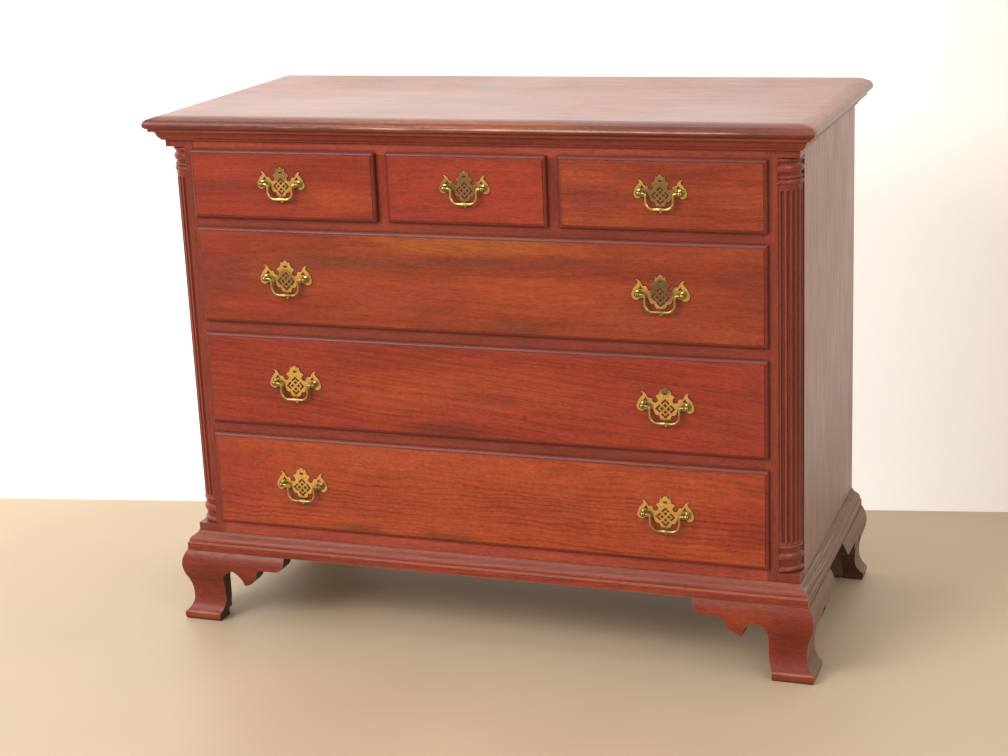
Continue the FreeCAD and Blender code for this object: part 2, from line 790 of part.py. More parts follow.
# ----------------------------------------------------------------------------------------------
# Feet: ogee section, scalloped bracket outline, mitre at the front corner
# ----------------------------------------------------------------------------------------------
def ogee_section(face, out):
    """Bulge over waist over toe, from the case face outwards."""
    return [
        (f"{face} {out} foot_inner", "0"),
        (f"{face} {out} (foot_toe - 2.5)", "0"),
        (f"{face} {out} foot_toe", "foot_toe_rise - 4", f"{face} {out} (foot_toe - 0.9)", "3"),
        (f"{face} {out} (foot_toe - 0.6)", "foot_toe_rise + 1"),
        (
            f"{face} {out} foot_waist",
            "foot_waist_rise",
            f"{face} {out} (foot_waist + 2.4)",
            "foot_waist_rise - 14.5",
        ),
        (
            f"{face} {out} (foot_bulge - 5.2)",
            "foot_bulge_rise - 24",
            f"{face} {out} (foot_waist + 2)",
            "foot_waist_rise + 20",
        ),
        (
            f"{face} {out} foot_bulge",
            "foot_bulge_rise",
            f"{face} {out} (foot_bulge - 1.2)",
            "foot_bulge_rise - 11.5",
        ),
        (
            f"{face} {out} (foot_bulge - 8)",
            "foot_height",
            f"{face} {out} (foot_bulge - 2.6)",
            "foot_bulge_rise + 13",
        ),
        (f"{face} {out} foot_inner", "foot_height"),
    ]


def bracket_waste(corner, inward, wing):
    """What is sawn away below the bracket: wing, pendant, arch and leg.  corner is the case corner,
    inward the sign that leads away from it and wing how far the bracket runs."""

    def at(distance, drop):
        return (f"{corner} {inward} ({distance})", f"foot_height - ({drop})")

    def over(distance, drop, mid_distance, mid_drop):
        return at(distance, drop) + at(mid_distance, mid_drop)

    return [
        at(f"{wing} + 40", "-10"),
        at(wing, "-10"),
        at(wing, "foot_wing_depth - foot_wing_round"),
        over(
            f"{wing} - foot_wing_round",
            "foot_wing_depth",
            f"{wing} - 0.2929 * foot_wing_round",
            "foot_wing_depth - 0.2929 * foot_wing_round",
        ),
        at("foot_drop_place + 35", "foot_wing_depth"),
        over(
            "foot_drop_place + 25",
            "foot_wing_depth + 9",
            "foot_drop_place + 28",
            "foot_wing_depth + 2.5",
        ),
        over("foot_drop_place + 3", "foot_drop - 0.5", "foot_drop_place + 17", "foot_drop - 10"),
        over("foot_drop_place - 3", "foot_drop - 2", "foot_drop_place - 0.3", "foot_drop + 0.4"),
        over("foot_drop_place - 19", "foot_arch", "foot_drop_place - 9.5", "foot_arch + 8"),
        over("foot_leg", "foot_arch + 26", "foot_leg + 6.5", "foot_arch + 7"),
        at("foot_leg", "foot_height - foot_waist_rise"),
        over(
            "foot_toe_inner",
            "foot_height - foot_toe_rise",
            "foot_leg - 2.2",
            "foot_height - foot_waist_rise + 16",
        ),
        at("foot_toe_inner", "foot_height + 10"),
        at(f"{wing} + 40", "foot_height + 10"),
    ]


def make_bracket(name, plane, corner, inward, section, wing, mitre):
    """One ogee bracket: its section run along the case, sawn to the outline and mitred.  It lies along
    the front where plane is YZ_Plane and along the side where plane is XZ_Plane."""
    piece = body(name + "_body")
    along_front = plane == "YZ_Plane"
    begin = f"{corner} {inward} {wing}"
    drawing = sketch(piece, plane, name + "_section", begin if along_front else f"-({begin})")
    outline(drawing, section)
    length = f"{wing} + foot_toe" if mitre else wing
    pad(piece, drawing, length, back=not along_front and inward == "-")
    face = sketch(piece, "XZ_Plane" if along_front else "YZ_Plane", name + "_outline")
    outline(face, bracket_waste(corner, inward, wing))
    cut(piece, face)
    if mitre:
        plan = sketch(piece, "XY_Plane", name + "_mitre")
        outline(plan, mitre)
        cut(piece, plan)
    return piece


def make_feet():
    """Four feet: the front ones mitred, the back ones with a plain bracket across the back."""
    reach = "2 * foot_stock"
    inner = [(f"half_case - {reach}", f"front_y + {reach}"), (f"half_case + {reach}", f"front_y - {reach}")]
    front_waste = [inner[0], inner[1], (f"half_case + {reach}", f"front_y + {reach}")]
    side_waste = [inner[0], inner[1], (f"half_case - {reach}", f"front_y - {reach}")]
    across = ogee_section("front_y", "-")
    along = ogee_section("half_case", "+")
    front = make_bracket("foot_front", "YZ_Plane", "half_case", "-", across, "foot_wing", front_waste)
    side = make_bracket("foot_side", "XZ_Plane", "front_y", "+", along, "foot_side_wing", side_waste)
    keep(group("foot_front_right_set", [front, side]), "foot_front_right")
    keep(
        group(
            "foot_front_left_set",
            [mirrored("foot_front_left_front", front), mirrored("foot_front_left_side", side)],
        ),
        "foot_front_left",
    )

    rear = make_bracket("foot_rear", "XZ_Plane", "back_y", "-", along, "foot_rear_wing", None)
    plain = body("foot_back_body")
    drawing = sketch(plain, "XZ_Plane", "foot_back_outline", "-back_y")
    edge = "half_case + foot_inner"
    outline(
        drawing,
        [
            (edge, "0"),
            (edge, "foot_height"),
            (f"{edge} - foot_back_wing", "foot_height"),
            (f"{edge} - foot_back_wing", "foot_height - foot_wing_depth"),
            (
                f"{edge} - foot_leg",
                "0",
                f"{edge} - foot_leg - 0.3 * (foot_back_wing - foot_leg)",
                "0.52 * foot_height",
            ),
        ],
    )
    pad(plain, drawing, "foot_back_thickness")
    keep(group("foot_rear_right_set", [rear, plain]), "foot_rear_right")
    keep(
        group(
            "foot_rear_left_set",
            [mirrored("foot_rear_left_side", rear), mirrored("foot_rear_left_back", plain)],
        ),
        "foot_rear_left",
    )
    blocks = []
    inside = "half_case + foot_inner"
    for name, near, far in (
        ("front", "front_y - foot_inner", "front_y - foot_inner + glue_block"),
        ("rear", "back_y - foot_back_thickness - glue_block", "back_y - foot_back_thickness"),
    ):
        block = board(
            f"glue_block_{name}",
            (f"{inside} - glue_block", near, "glue_block_lift"),
            (inside, far, "foot_height"),
        )
        blocks += [block, mirrored(f"glue_block_{name}_left", block)]
    keep(group("glue_block_set", blocks), "foot_glue_blocks")


# ----------------------------------------------------------------------------------------------
# Pulls: pierced plate, turned posts with nuts, bail
# ----------------------------------------------------------------------------------------------
# The brass is drawn for posts this far apart and follows the real spacing.
DRAWN_SPACING = 70


def scaled(size, stops):
    """A drawn run of stops at the size of one pull."""
    return [tuple(f"{value} * {size}_post_spacing / {DRAWN_SPACING}" for value in stop) for stop in stops]


def make_plate(size):
    """Pierced plate in the plane of the drawer front, drawn about the middle of its two posts."""
    plate = body(f"{size}_plate_body")
    drawing = sketch(plate, "XZ_Plane", f"{size}_plate_half")
    half = [
        (0, 29.6),
        (4.2, 26.2, 2.7, 28.6),
        (5.4, 25.6),
        (8.2, 27.8),
        (7.8, 23.6),
        (9.2, 18.4, 9.4, 21.2),
        (15.2, 15, 12.6, 17.4),
        (13.4, 12.8),
        (20.4, 9.6, 15, 4.6),
        (22.8, 11.8),
        (25.4, 11.4),
        (29.2, 14.6, 27.6, 12.4),
        (39, 22, 33.6, 20.6),
        (36.4, 14.6, 35.4, 18.4),
        (45, 1.2, 42.2, 7.8),
        (36.6, -9.6, 43, -7.6),
        (25.6, -6.8, 31, -6.6),
        (19, -3.4, 21.2, -6.2),
        (17.4, -10.6, 19.2, -7),
        (10.6, -14.6, 14.6, -14.4),
        (8.6, -18),
        (3.2, -22.6, 6.8, -22),
        (2.2, -25),
        (3.4, -28.4),
        (0, -33.8, 2.2, -31.4),
    ]
    outline(drawing, scaled(size, half))
    eye = [(26.8, 6.6), (31, 13), (35.2, 6.6)]
    outline(drawing, scaled(size, eye))
    circle(drawing, f"{size}_post_spacing / 2", "0", "shank_radius + shank_play")
    right = pad(plate, drawing, "plate_thickness")
    both = plate.newObject("PartDesign::Mirrored", f"{size}_plate_both")
    both.Originals = [right]
    both.MirrorPlane = (drawing, ["V_Axis"])
    plate.Tip = both

    slot = sketch(plate, "XZ_Plane", f"{size}_plate_slot")
    outline(slot, scaled(size, [(-3.2, 17.6), (3.2, 17.6), (3.2, 21.6), (-3.2, 21.6)]))
    cut(plate, slot)

    lattice = sketch(plate, "XZ_Plane", f"{size}_plate_lattice")
    bind(lattice, AttachmentOffset__Base__y=f"-4.4 * {size}_post_spacing / {DRAWN_SPACING}")
    outline(lattice, scaled(size, [(-3.3, 5.3), (0, 8.6), (3.3, 5.3), (0, 2)]))
    outline(
        lattice,
        scaled(size, [(0, 16), (7, 9), (4.7, 6.7), (0, 11.4), (-4.7, 6.7), (-7, 9)]),
    )
    piercing = cut(plate, lattice)
    pattern = plate.newObject("PartDesign::PolarPattern", f"{size}_plate_piercings")
    pattern.Originals = [piercing]
    pattern.Axis = (lattice, ["N_Axis"])
    pattern.Angle = 360
    plate.Tip = pattern
    pattern.Occurrences = 4
    return plate


def make_post(size):
    """Turned post with a ball head bored for the bail, its shank through the front, and its nut.
    The post's axis is the Y axis and the drawer face is at y = 0."""
    post = body(f"{size}_post_body")
    turning = sketch(post, "YZ_Plane", f"{size}_post_turning")
    inner = "lip_thickness + front_tongue + nut_thickness + shank_end"
    pivot = "plate_thickness + post_reach"
    outline(
        turning,
        [
            (inner, "0"),
            (inner, "shank_radius"),
            ("-plate_thickness", "shank_radius"),
            ("-plate_thickness", "post_collar"),
            ("-(plate_thickness + collar_edge)", "post_collar"),
            ("-(plate_thickness + collar_height)", "post_neck"),
            (f"-({pivot}) + sqrt(post_ball ^ 2 - post_neck ^ 2)", "post_neck"),
            (f"-({pivot} + post_ball)", "0", f"-({pivot})", "post_ball"),
        ],
    )
    turned = post.newObject("PartDesign::Revolution", f"{size}_post_turned")
    turned.Profile = turning
    turned.ReferenceAxis = (turning, ["H_Axis"])
    turned.Angle = 360
    post.Tip = turned
    bore = sketch(post, "YZ_Plane", f"{size}_post_bore")
    circle(bore, f"-({pivot})", "0", "bail_radius + bail_play")
    cut(post, bore)
    nut = body(f"{size}_nut_body")
    face = sketch(nut, "XZ_Plane", f"{size}_nut_face", "-(lip_thickness + front_tongue + nut_thickness)")
    circle(face, "0", "0", "nut_radius")
    circle(face, "0", "0", "shank_radius")
    pad(nut, face, "nut_thickness")
    return post, nut


def make_bail(size):
    """Swan-neck bail: a pin, an elbow, an arm and a bend on each side, and a swollen grip.
    Drawn about the middle of its pivot line."""
    unit = f"{size}_post_spacing / {DRAWN_SPACING}"
    end = f"({size}_post_spacing / 2 + 0.9 * post_ball)"
    side = f"(23.4 * {unit})"
    elbow = f"(4.4 * {unit})"
    turn = f"(13 * {unit})"
    depth = f"(26.4 * {unit})"
    grip = f"(9 * {unit})"
    bail = body(f"{size}_bail_body")

    def section(plane, name, shift, across, up):
        drawing = sketch(bail, plane, f"{size}_bail_{name}", shift)
        circle(drawing, across, up, "bail_radius")
        return drawing

    def bend(drawing, begin, finish, back):
        """Turn a section through a right angle about a line of its sketch."""
        line = drawing.addGeometry(Part.LineSegment(spot_of(begin), spot_of(finish)), True)
        pin_down(drawing, line, 1, begin)
        pin_down(drawing, line, 2, finish)
        feature = bail.newObject("PartDesign::Revolution", drawing.Name + "_turned")
        feature.Profile = drawing
        feature.ReferenceAxis = (drawing, ["Axis0"])
        feature.Angle = 90
        feature.Reversed = back
        bail.Tip = feature

    pad(bail, section("YZ_Plane", "pin", end, "0", "0"), f"{end} - {side} - {elbow}", back=True)
    bend(
        section("YZ_Plane", "elbow", f"{side} + {elbow}", "0", "0"),
        ("-1", f"-{elbow}"),
        ("1", f"-{elbow}"),
        True,
    )
    arm = section("XY_Plane", "arm", f"-{elbow}", side, "0")
    pad(bail, arm, f"{depth} - {turn} - {elbow}", back=True)
    bend(
        section("XY_Plane", "bend", f"-({depth} - {turn})", side, "0"),
        (f"{side} - {turn}", "-1"),
        (f"{side} - {turn}", "1"),
        False,
    )
    run = section("YZ_Plane", "run", f"{side} - {turn}", "0", f"-{depth}")
    pad(bail, run, f"{side} - {turn}", back=True)
    middle = sketch(bail, "XZ_Plane", f"{size}_bail_grip")
    outline(
        middle,
        [
            ("0", f"-{depth}"),
            ("0", f"-{depth} + bail_swell"),
            (f"{grip} - 0.6", f"-{depth} + bail_radius + 0.3"),
            (f"{grip} - 0.6", f"-{depth} + bail_radius + 0.7"),
            (grip, f"-{depth} + bail_radius + 0.7"),
            (grip, f"-{depth}"),
        ],
    )
    line = middle.addGeometry(
        Part.LineSegment(spot_of(("0", f"-{depth}")), spot_of((grip, f"-{depth}"))), True
    )
    pin_down(middle, line, 1, ("0", f"-{depth}"))
    pin_down(middle, line, 2, (grip, f"-{depth}"))
    swell = bail.newObject("PartDesign::Revolution", f"{size}_bail_grip_turned")
    swell.Profile = middle
    swell.ReferenceAxis = (middle, ["Axis0"])
    swell.Angle = 360
    bail.Tip = swell
    both = bail.newObject("PartDesign::Mirrored", f"{size}_bail_both")
    both.TransformMode = "Whole shape"
    both.MirrorPlane = (middle, ["V_Axis"])
    bail.Tip = both
    return bail


# ----------------------------------------------------------------------------------------------
# Drawers
# ----------------------------------------------------------------------------------------------
def lip_edge_stops(edge, inward, flip):
    """Thumbnail moulding from the lip's back edge to the field.  edge is the outer edge of the lip,
    inward the sign that leads to the field.  flip puts depth first."""

    def at(across, depth):
        place = (f"({edge}) {inward} ({across})", f"-({depth})")
        return place[::-1] if flip else place

    return [
        at("0", "0"),
        at("0", "lip_edge"),
        at("lip_moulding", "lip_thickness - lip_fillet")
        + at("0.3 * lip_moulding", "lip_edge + 0.72 * (lip_thickness - lip_fillet - lip_edge)"),
        at("lip_moulding", "lip_thickness"),
    ]


def make_drawer(name, size, centre, width, height, floor, pulls, ajar="0"):
    """One drawer: lipped front, sides and back, bottom, and its pulls.  centre, width, height and floor
    describe its opening.  pulls gives each pull's place from the drawer's middle and its bail's name."""
    face_y = f"front_y - lip_gap - ({ajar})"
    half = f"({width}) / 2"

    front = body(f"{name}_front_body")
    section = sketch(front, "YZ_Plane", f"{name}_front_section")
    low = lip_edge_stops("-lip_overlap", "+", True)
    high = backwards(lip_edge_stops(f"{height} + lip_overlap", "-", True))
    tongue = [
        ("0", f"{height} - drawer_play"),
        ("front_tongue", f"{height} - drawer_play"),
        ("front_tongue", "running_gap"),
        ("0", "running_gap"),
    ]
    outline(section, low + high + tongue)
    pad(front, section, f"{width} + 2 * lip_overlap", middle=True)
    plan = sketch(front, "XY_Plane", f"{name}_front_ends")
    end = lip_edge_stops(f"{half} + lip_overlap", "-", False)
    waste = end[1:] + [
        (end[3][0], "-2 * lip_thickness"),
        (f"{half} + 3 * lip_overlap", "-2 * lip_thickness"),
        (f"{half} + 3 * lip_overlap", "-lip_edge"),
    ]
    rebate = [
        (f"{half} - drawer_play", "0"),
        (f"{half} + 3 * lip_overlap", "0"),
        (f"{half} + 3 * lip_overlap", "2 * front_tongue"),
        (f"{half} - drawer_play", "2 * front_tongue"),
    ]
    for shape in (waste, rebate):
        outline(plan, shape)
        outline(plan, flipped(shape))
    cut(front, plan)
    holes = sketch(front, "XZ_Plane", f"{name}_front_holes")
    rise = f"{height} / 2 + {size}_pull_rise"
    for place, _ in pulls:
        for sign in ("-", "+"):
            circle(holes, f"{place} {sign} {size}_post_spacing / 2", rise, "shank_radius + shank_play")
    cut(front, holes)
    put(front, centre, face_y, floor)
    keep(front, f"{name}_front")

    outer = f"({half} - drawer_play)"
    inner = f"({outer} - drawer_side)"
    groove_end = f"({inner} + drawer_groove)"
    side_top = f"({height} - drawer_play - drawer_side_drop)"
    panel_top = "drawer_bottom_rise + drawer_bottom"
    length = "(inside_y - drawer_back_room - front_y + lip_gap - front_tongue)"
    side = body(f"{name}_side_body")
    side_section = sketch(side, "XZ_Plane", f"{name}_side_section", "-front_tongue")
    outline(
        side_section,
        [
            (outer, "running_gap"),
            (outer, side_top),
            (inner, side_top),
            (inner, panel_top),
            (groove_end, panel_top),
            (groove_end, "drawer_bottom_rise"),
            (inner, "drawer_bottom_rise"),
            (inner, "running_gap"),
        ],
    )
    pad(side, side_section, length, back=True)
    twin = mirrored(f"{name}_side_left", side)
    back = board(
        f"{name}_back",
        (f"-{inner}", f"front_tongue + {length} - drawer_side", panel_top),
        (inner, f"front_tongue + {length}", side_top),
    )
    box = group(f"{name}_box", [side, twin, back])
    keep(put(box, centre, face_y, floor), f"{name}_sides_and_back")
    panel = board(
        f"{name}_panel",
        (f"{centre} - {groove_end}", f"{face_y} + front_tongue", f"{floor} + drawer_bottom_rise"),
        (f"{centre} + {groove_end}", f"{face_y} + front_tongue + {length}", f"{floor} + {panel_top}"),
    )
    keep(panel, f"{name}_bottom_panel")

    plates = []
    posts = []
    plate, post, nut, bail = PULLS[size]
    wood_y = f"{face_y} - lip_thickness"
    pivot_y = f"{wood_y} - plate_thickness - post_reach"
    up = f"{floor} + {rise}"
    for place, bail_name in pulls:
        across = f"{centre} + {place}"
        pull = f"{name}_{bail_name}"
        plates.append(copy_of(f"{pull}_plate", plate, across, wood_y, up))
        for sign, word in (("-", "left"), ("+", "right")):
            spot = f"{across} {sign} {size}_post_spacing / 2"
            posts.append(copy_of(f"{pull}_post_{word}", post, spot, wood_y, up))
            posts.append(copy_of(f"{pull}_nut_{word}", nut, spot, wood_y, up))
        keep(copy_of(f"{pull}_link", bail, across, pivot_y, up), pull)
    keep(group(f"{name}_plate_set", plates), f"{name}_plates")
    keep(group(f"{name}_post_set", posts), f"{name}_posts")


def make_drawers():
    """Three small drawers over three long ones."""
    small_width = "(half_opening - divider_outer)"
    small_centre = "(half_opening + divider_outer) / 2"
    small = ("top_opening_height", "top_opening_z", [("0", "bail")])
    make_drawer("top_left_drawer", "small", f"-{small_centre}", small_width, *small, ajar="top_left_ajar")
    make_drawer("top_middle_drawer", "small", "0", "middle_opening_width", *small)
    make_drawer("top_right_drawer", "small", small_centre, small_width, *small)
    for level in ("second", "third", "bottom"):
        make_drawer(
            f"{level}_drawer",
            "long",
            "0",
            "2 * half_opening",
            f"{level}_opening_height",
            f"{level}_opening_z",
            [
                (f"({level}_pull_left - half_opening)", "bail_left"),
                (f"(half_opening - {level}_pull_right)", "bail_right"),
            ],
        )


make_top_board()
make_moulding("cornice_moulding", cornice_section, "cornice_projection")
make_moulding("base_moulding", base_section, "base_projection")
make_sides()
make_posts()
make_rails()
make_back_and_bottom()
make_runners()
make_columns()
make_feet()
PULLS = {size: (make_plate(size), *make_post(size), make_bail(size)) for size in ("small", "long")}
make_drawers()
doc.recompute()

# ----------------------------------------------------------------------------------------------
# Check and write
# ----------------------------------------------------------------------------------------------
for thing in doc.Objects:
    bad = [state for state in thing.State if state in ("Invalid", "Error")]
    if bad:
        raise RuntimeError(f"{thing.Name} is {bad}")
os.makedirs("parts", exist_ok=True)
for thing in SUBPARTS:
    shape = thing.Shape
    if shape.isNull() or not shape.isValid():
        raise RuntimeError(f"{thing.Label} has no valid shape")
    shape.exportStep(f"parts/{thing.Label}.step")
    print(f"{thing.Label}: {len(shape.Solids)} solids, {shape.Volume / 1000:.1f} cm3")
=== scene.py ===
import math
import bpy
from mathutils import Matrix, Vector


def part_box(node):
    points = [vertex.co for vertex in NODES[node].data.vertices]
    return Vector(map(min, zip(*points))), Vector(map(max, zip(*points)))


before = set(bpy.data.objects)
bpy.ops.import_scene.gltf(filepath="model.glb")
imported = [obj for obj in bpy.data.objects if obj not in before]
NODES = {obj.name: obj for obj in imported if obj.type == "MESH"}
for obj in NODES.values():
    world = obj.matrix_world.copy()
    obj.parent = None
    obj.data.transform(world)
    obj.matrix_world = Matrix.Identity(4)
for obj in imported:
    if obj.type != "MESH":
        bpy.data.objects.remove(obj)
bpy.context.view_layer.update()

from types import SimpleNamespace

import bmesh
import bpy
from mathutils import Matrix, Vector

MM = 0.001

# ---------------------------------------------------------------------------------------------
# Tones, as linear red, green and blue
# ---------------------------------------------------------------------------------------------
# The dark, middle and light tone of a mahogany board.
RED = ((0.215, 0.022, 0.010), (0.280, 0.031, 0.013), (0.330, 0.042, 0.017))
BROWNISH = ((0.190, 0.025, 0.010), (0.265, 0.036, 0.012), (0.325, 0.054, 0.016))
ORANGE_RED = ((0.250, 0.032, 0.011), (0.345, 0.050, 0.015), (0.410, 0.071, 0.020))
CASE = ((0.150, 0.023, 0.013), (0.225, 0.034, 0.018), (0.270, 0.045, 0.023))
COLUMN = ((0.130, 0.018, 0.010), (0.195, 0.026, 0.014), (0.245, 0.036, 0.018))
SIDE = ((0.140, 0.034, 0.020), (0.185, 0.042, 0.024), (0.235, 0.056, 0.032))
TOP = ((0.135, 0.026, 0.014), (0.205, 0.040, 0.020), (0.265, 0.058, 0.028))

# Patches on the boards, among them painted shade and a painted highlight.
GLOW = (0.390, 0.064, 0.018)
GOLDEN = (0.350, 0.086, 0.016)
SCARLET = (0.340, 0.030, 0.015)
PLUM = (0.170, 0.022, 0.016)
UMBER = (0.135, 0.036, 0.017)
OLIVE = (0.170, 0.085, 0.030)
TAN = (0.270, 0.085, 0.030)
MAROON = (0.140, 0.018, 0.010)
LIP = (0.135, 0.024, 0.021)
NOSE_SHADE = (0.150, 0.030, 0.017)
NOSE_HIGHLIGHT = (0.640, 0.400, 0.300)
TOE = (0.270, 0.055, 0.024)
ARRIS = (0.480, 0.220, 0.120)
FLUTE_SHADE = (0.070, 0.011, 0.008)
BARE_IN_SHADE = (0.070, 0.028, 0.017)
TAIL = (0.330, 0.200, 0.095)

# Dust, painted sheen, painted shade and wear on mahogany.
LEDGE_DUST = (0.245, 0.122, 0.096)
SIDE_DUST_AND_SHEEN = (0.195, 0.130, 0.100)
OLD_DUST_AND_SHEEN = (0.180, 0.113, 0.080)
TOP_END_DUST_AND_SHEEN = (0.275, 0.172, 0.145)
PANEL_DUST_AND_SHEEN = (0.420, 0.290, 0.250)
LOW_SHADE = (0.160, 0.085, 0.062)
CORNER_SHADE = (0.034, 0.009, 0.006)
WORN = (0.460, 0.140, 0.065)
WORN_COLUMN = (0.500, 0.115, 0.050)
WORN_BASE = (0.500, 0.200, 0.120)
OLD_WORN = (0.370, 0.250, 0.190)

POPLAR = (0.420, 0.270, 0.130)
BOTTOM_POPLAR = (0.460, 0.310, 0.170)
BACK_POPLAR = (0.340, 0.210, 0.105)
INNER_POPLAR = (0.330, 0.210, 0.110)
# The poplar of the glue blocks, painted darker as in shade.
SHADED_BLOCK_POPLAR = (0.130, 0.068, 0.036)
# Painted shade in the corners of the poplar.
POPLAR_CORNER_SHADE = (0.090, 0.055, 0.030)
SEAM_DIRT = (0.045, 0.028, 0.018)
NAIL_IRON = (0.030, 0.026, 0.024)

PLATE_BRASS = (0.830, 0.510, 0.140)
POST_BRASS = (0.360, 0.280, 0.090)
SMALL_BAIL_BRASS = (0.740, 0.530, 0.180)
LONG_BAIL_BRASS = (0.500, 0.380, 0.150)
TARNISH = (0.200, 0.125, 0.050)
# Painted shade in the corners of the brass.
BRASS_CORNER_SHADE = (0.075, 0.050, 0.016)
BRIGHT_BRASS = (0.900, 0.660, 0.360)


def scaled(tone, amount):
    """The tone, lighter where the amount is over 1 and darker under it."""
    return tuple(amount * c for c in tone)


def all_scaled(tones, amount):
    """The three tones of a board, all lighter or darker."""
    return tuple(scaled(tone, amount) for tone in tones)


# ---------------------------------------------------------------------------------------------
# Writing a node material as nested calls
# ---------------------------------------------------------------------------------------------
# Nearly all values of a noise lie between the wide bounds, and most between the narrow ones.
NARROW = (0.34, 0.66)
WIDE = (0.30, 0.70)
# An edge begins and is sharp at these cosines between the true and the rounded normal.
SHARP = (0.995, 0.86)
# A corner begins and is tight at these shares of open space.
TIGHT = (0.95, 0.35)
BEVEL_SAMPLES = 4
CORNER_SAMPLES = 6


class Paint:
    """A procedural material whose nodes are made by the calls that use them.  A call takes numbers or
    the outputs of other calls."""

    def __init__(self, name):
        self.material = bpy.data.materials.new(name)
        self.material.use_nodes = True
        self.tree = self.material.node_tree
        self.shader = self.tree.nodes["Principled BSDF"]
        self.x, self.y, self.z = self.split(self.make("TexCoord").outputs["Object"])
        self.here = (self.x, self.y, self.z)

    def make(self, kind, **settings):
        node = self.tree.nodes.new("ShaderNode" + kind)
        for key, value in settings.items():
            setattr(node, key, value)
        return node

    def feed(self, socket, value):
        if isinstance(value, bpy.types.NodeSocket):
            self.tree.links.new(value, socket)
        else:
            socket.default_value = value

    def math(self, operation, a, b=0.0):
        node = self.make("Math", operation=operation)
        self.feed(node.inputs[0], a)
        self.feed(node.inputs[1], b)
        return node.outputs[0]

    def add(self, a, b):
        return self.math("ADD", a, b)

    def minus(self, a, b):
        return self.math("SUBTRACT", a, b)

    def times(self, a, b):
        return self.math("MULTIPLY", a, b)

    def lesser(self, a, b):
        return self.math("MINIMUM", a, b)

    def greater(self, a, b):
        return self.math("MAXIMUM", a, b)

    def size(self, a):
        """The value without its sign."""
        return self.math("ABSOLUTE", a)

    def distance(self, a, b):
        """How far the point (a, b) lies from the origin."""
        return self.math("SQRT", self.add(self.times(a, a), self.times(b, b)))

    def split(self, vector):
        node = self.make("SeparateXYZ")
        self.feed(node.inputs[0], vector)
        return node.outputs

    def join(self, x, y, z):
        node = self.make("CombineXYZ")
        for socket, value in zip(node.inputs, (x, y, z)):
            self.feed(socket, value)
        return node.outputs[0]

    def ramp(self, value, low, high, start=0.0, end=1.0):
        """A smooth step from start to end as the value goes from low to high."""
        node = self.make("MapRange", interpolation_type="SMOOTHSTEP")
        for socket, number in zip(node.inputs, (value, low, high, start, end)):
            self.feed(socket, number)
        return node.outputs[0]

    def sway(self, value, share, spread=WIDE):
        """A factor about 1, off it by up to the share either way, by a noise."""
        return self.ramp(value, *spread, 1.0 - share, 1.0 + share)

    def noise(self, place, cell, detail=3.0, rough=0.5, bend=0.0):
        """A noise, with the size of its cells in metres along the three directions of the place."""
        node = self.make("TexNoise")
        self.feed(node.inputs["Vector"], self.join(*[self.times(a, 1 / c) for a, c in zip(place, cell)]))
        node.inputs["Scale"].default_value = 1.0
        node.inputs["Detail"].default_value = detail
        node.inputs["Roughness"].default_value = rough
        node.inputs["Distortion"].default_value = bend
        return node.outputs[0]

    def mix(self, share, first, second):
        """From the first colour to the second by the share."""
        node = self.make("Mix", data_type="RGBA")
        node.clamp_factor = True
        self.feed(node.inputs[0], share)
        self.feed(node.inputs[6], colour(first))
        self.feed(node.inputs[7], colour(second))
        return node.outputs[2]

    def shade(self, tone, amount):
        """The colour made lighter or darker by a grey amount."""
        node = self.make("VectorMath", operation="SCALE")
        self.feed(node.inputs[0], tone)
        self.feed(node.inputs["Scale"], amount)
        return node.outputs[0]

    def normal(self):
        """The three parts of the surface's normal."""
        return self.split(self.make("NewGeometry").outputs["Normal"])

    def rounded(self, radius):
        """The normal as if the edges were rounded to the radius."""
        bevel = self.make("Bevel", samples=BEVEL_SAMPLES)
        bevel.inputs["Radius"].default_value = radius
        return bevel.outputs[0]

    def edges(self, radius):
        """1 on sharp edges, 0 on open faces."""
        dot = self.make("VectorMath", operation="DOT_PRODUCT")
        self.feed(dot.inputs[0], self.rounded(radius))
        self.feed(dot.inputs[1], self.make("NewGeometry").outputs["Normal"])
        return self.ramp(dot.outputs["Value"], *SHARP)

    def corners(self, reach):
        """1 in tight inner corners, 0 in the open."""
        node = self.make("AmbientOcclusion", samples=CORNER_SAMPLES)
        node.inputs["Distance"].default_value = reach
        return self.ramp(node.outputs["AO"], *TIGHT)

    def relief(self, height, depth, radius):
        """A bump on the shader, with the edges rounded to the radius."""
        bump = self.make("Bump")
        bump.inputs["Distance"].default_value = depth
        self.feed(bump.inputs["Height"], height)
        self.feed(bump.inputs["Normal"], self.rounded(radius))
        self.feed(self.shader.inputs["Normal"], bump.outputs[0])

    def set(self, **values):
        """Feeds the shader's inputs and gives the material."""
        for name, value in values.items():
            self.feed(self.shader.inputs[name.replace("_", " ")], value)
        return self.material


def colour(value):
    """Three numbers as a colour with alpha; a node's output passes through."""
    return value if isinstance(value, bpy.types.NodeSocket) else (*value, 1.0)


# ---------------------------------------------------------------------------------------------
# The place in a board
# ---------------------------------------------------------------------------------------------
# By how much one unit of a board's seed moves it through the noises.
SEED_STEPS = (1.7, 2.3, 3.1)
MITRE_BLUR = 0.5 * MM
RAGGED_CELL = (0.08, 0.012, 0.05)
RAGGEDNESS = 1.1


def from_case_faces(paint, node):
    """How far a point lies inside the node's faces at the side and at the front of the case."""
    low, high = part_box(node)
    return paint.minus(high.x, paint.size(paint.x)), paint.minus(paint.y, low.y)


def on_returns(paint, node):
    """1 on the lengths along the sides of a moulding that is mitred at the corners of the case."""
    from_side, from_front = from_case_faces(paint, node)
    return paint.ramp(paint.minus(from_front, from_side), -MITRE_BLUR, MITRE_BLUR)


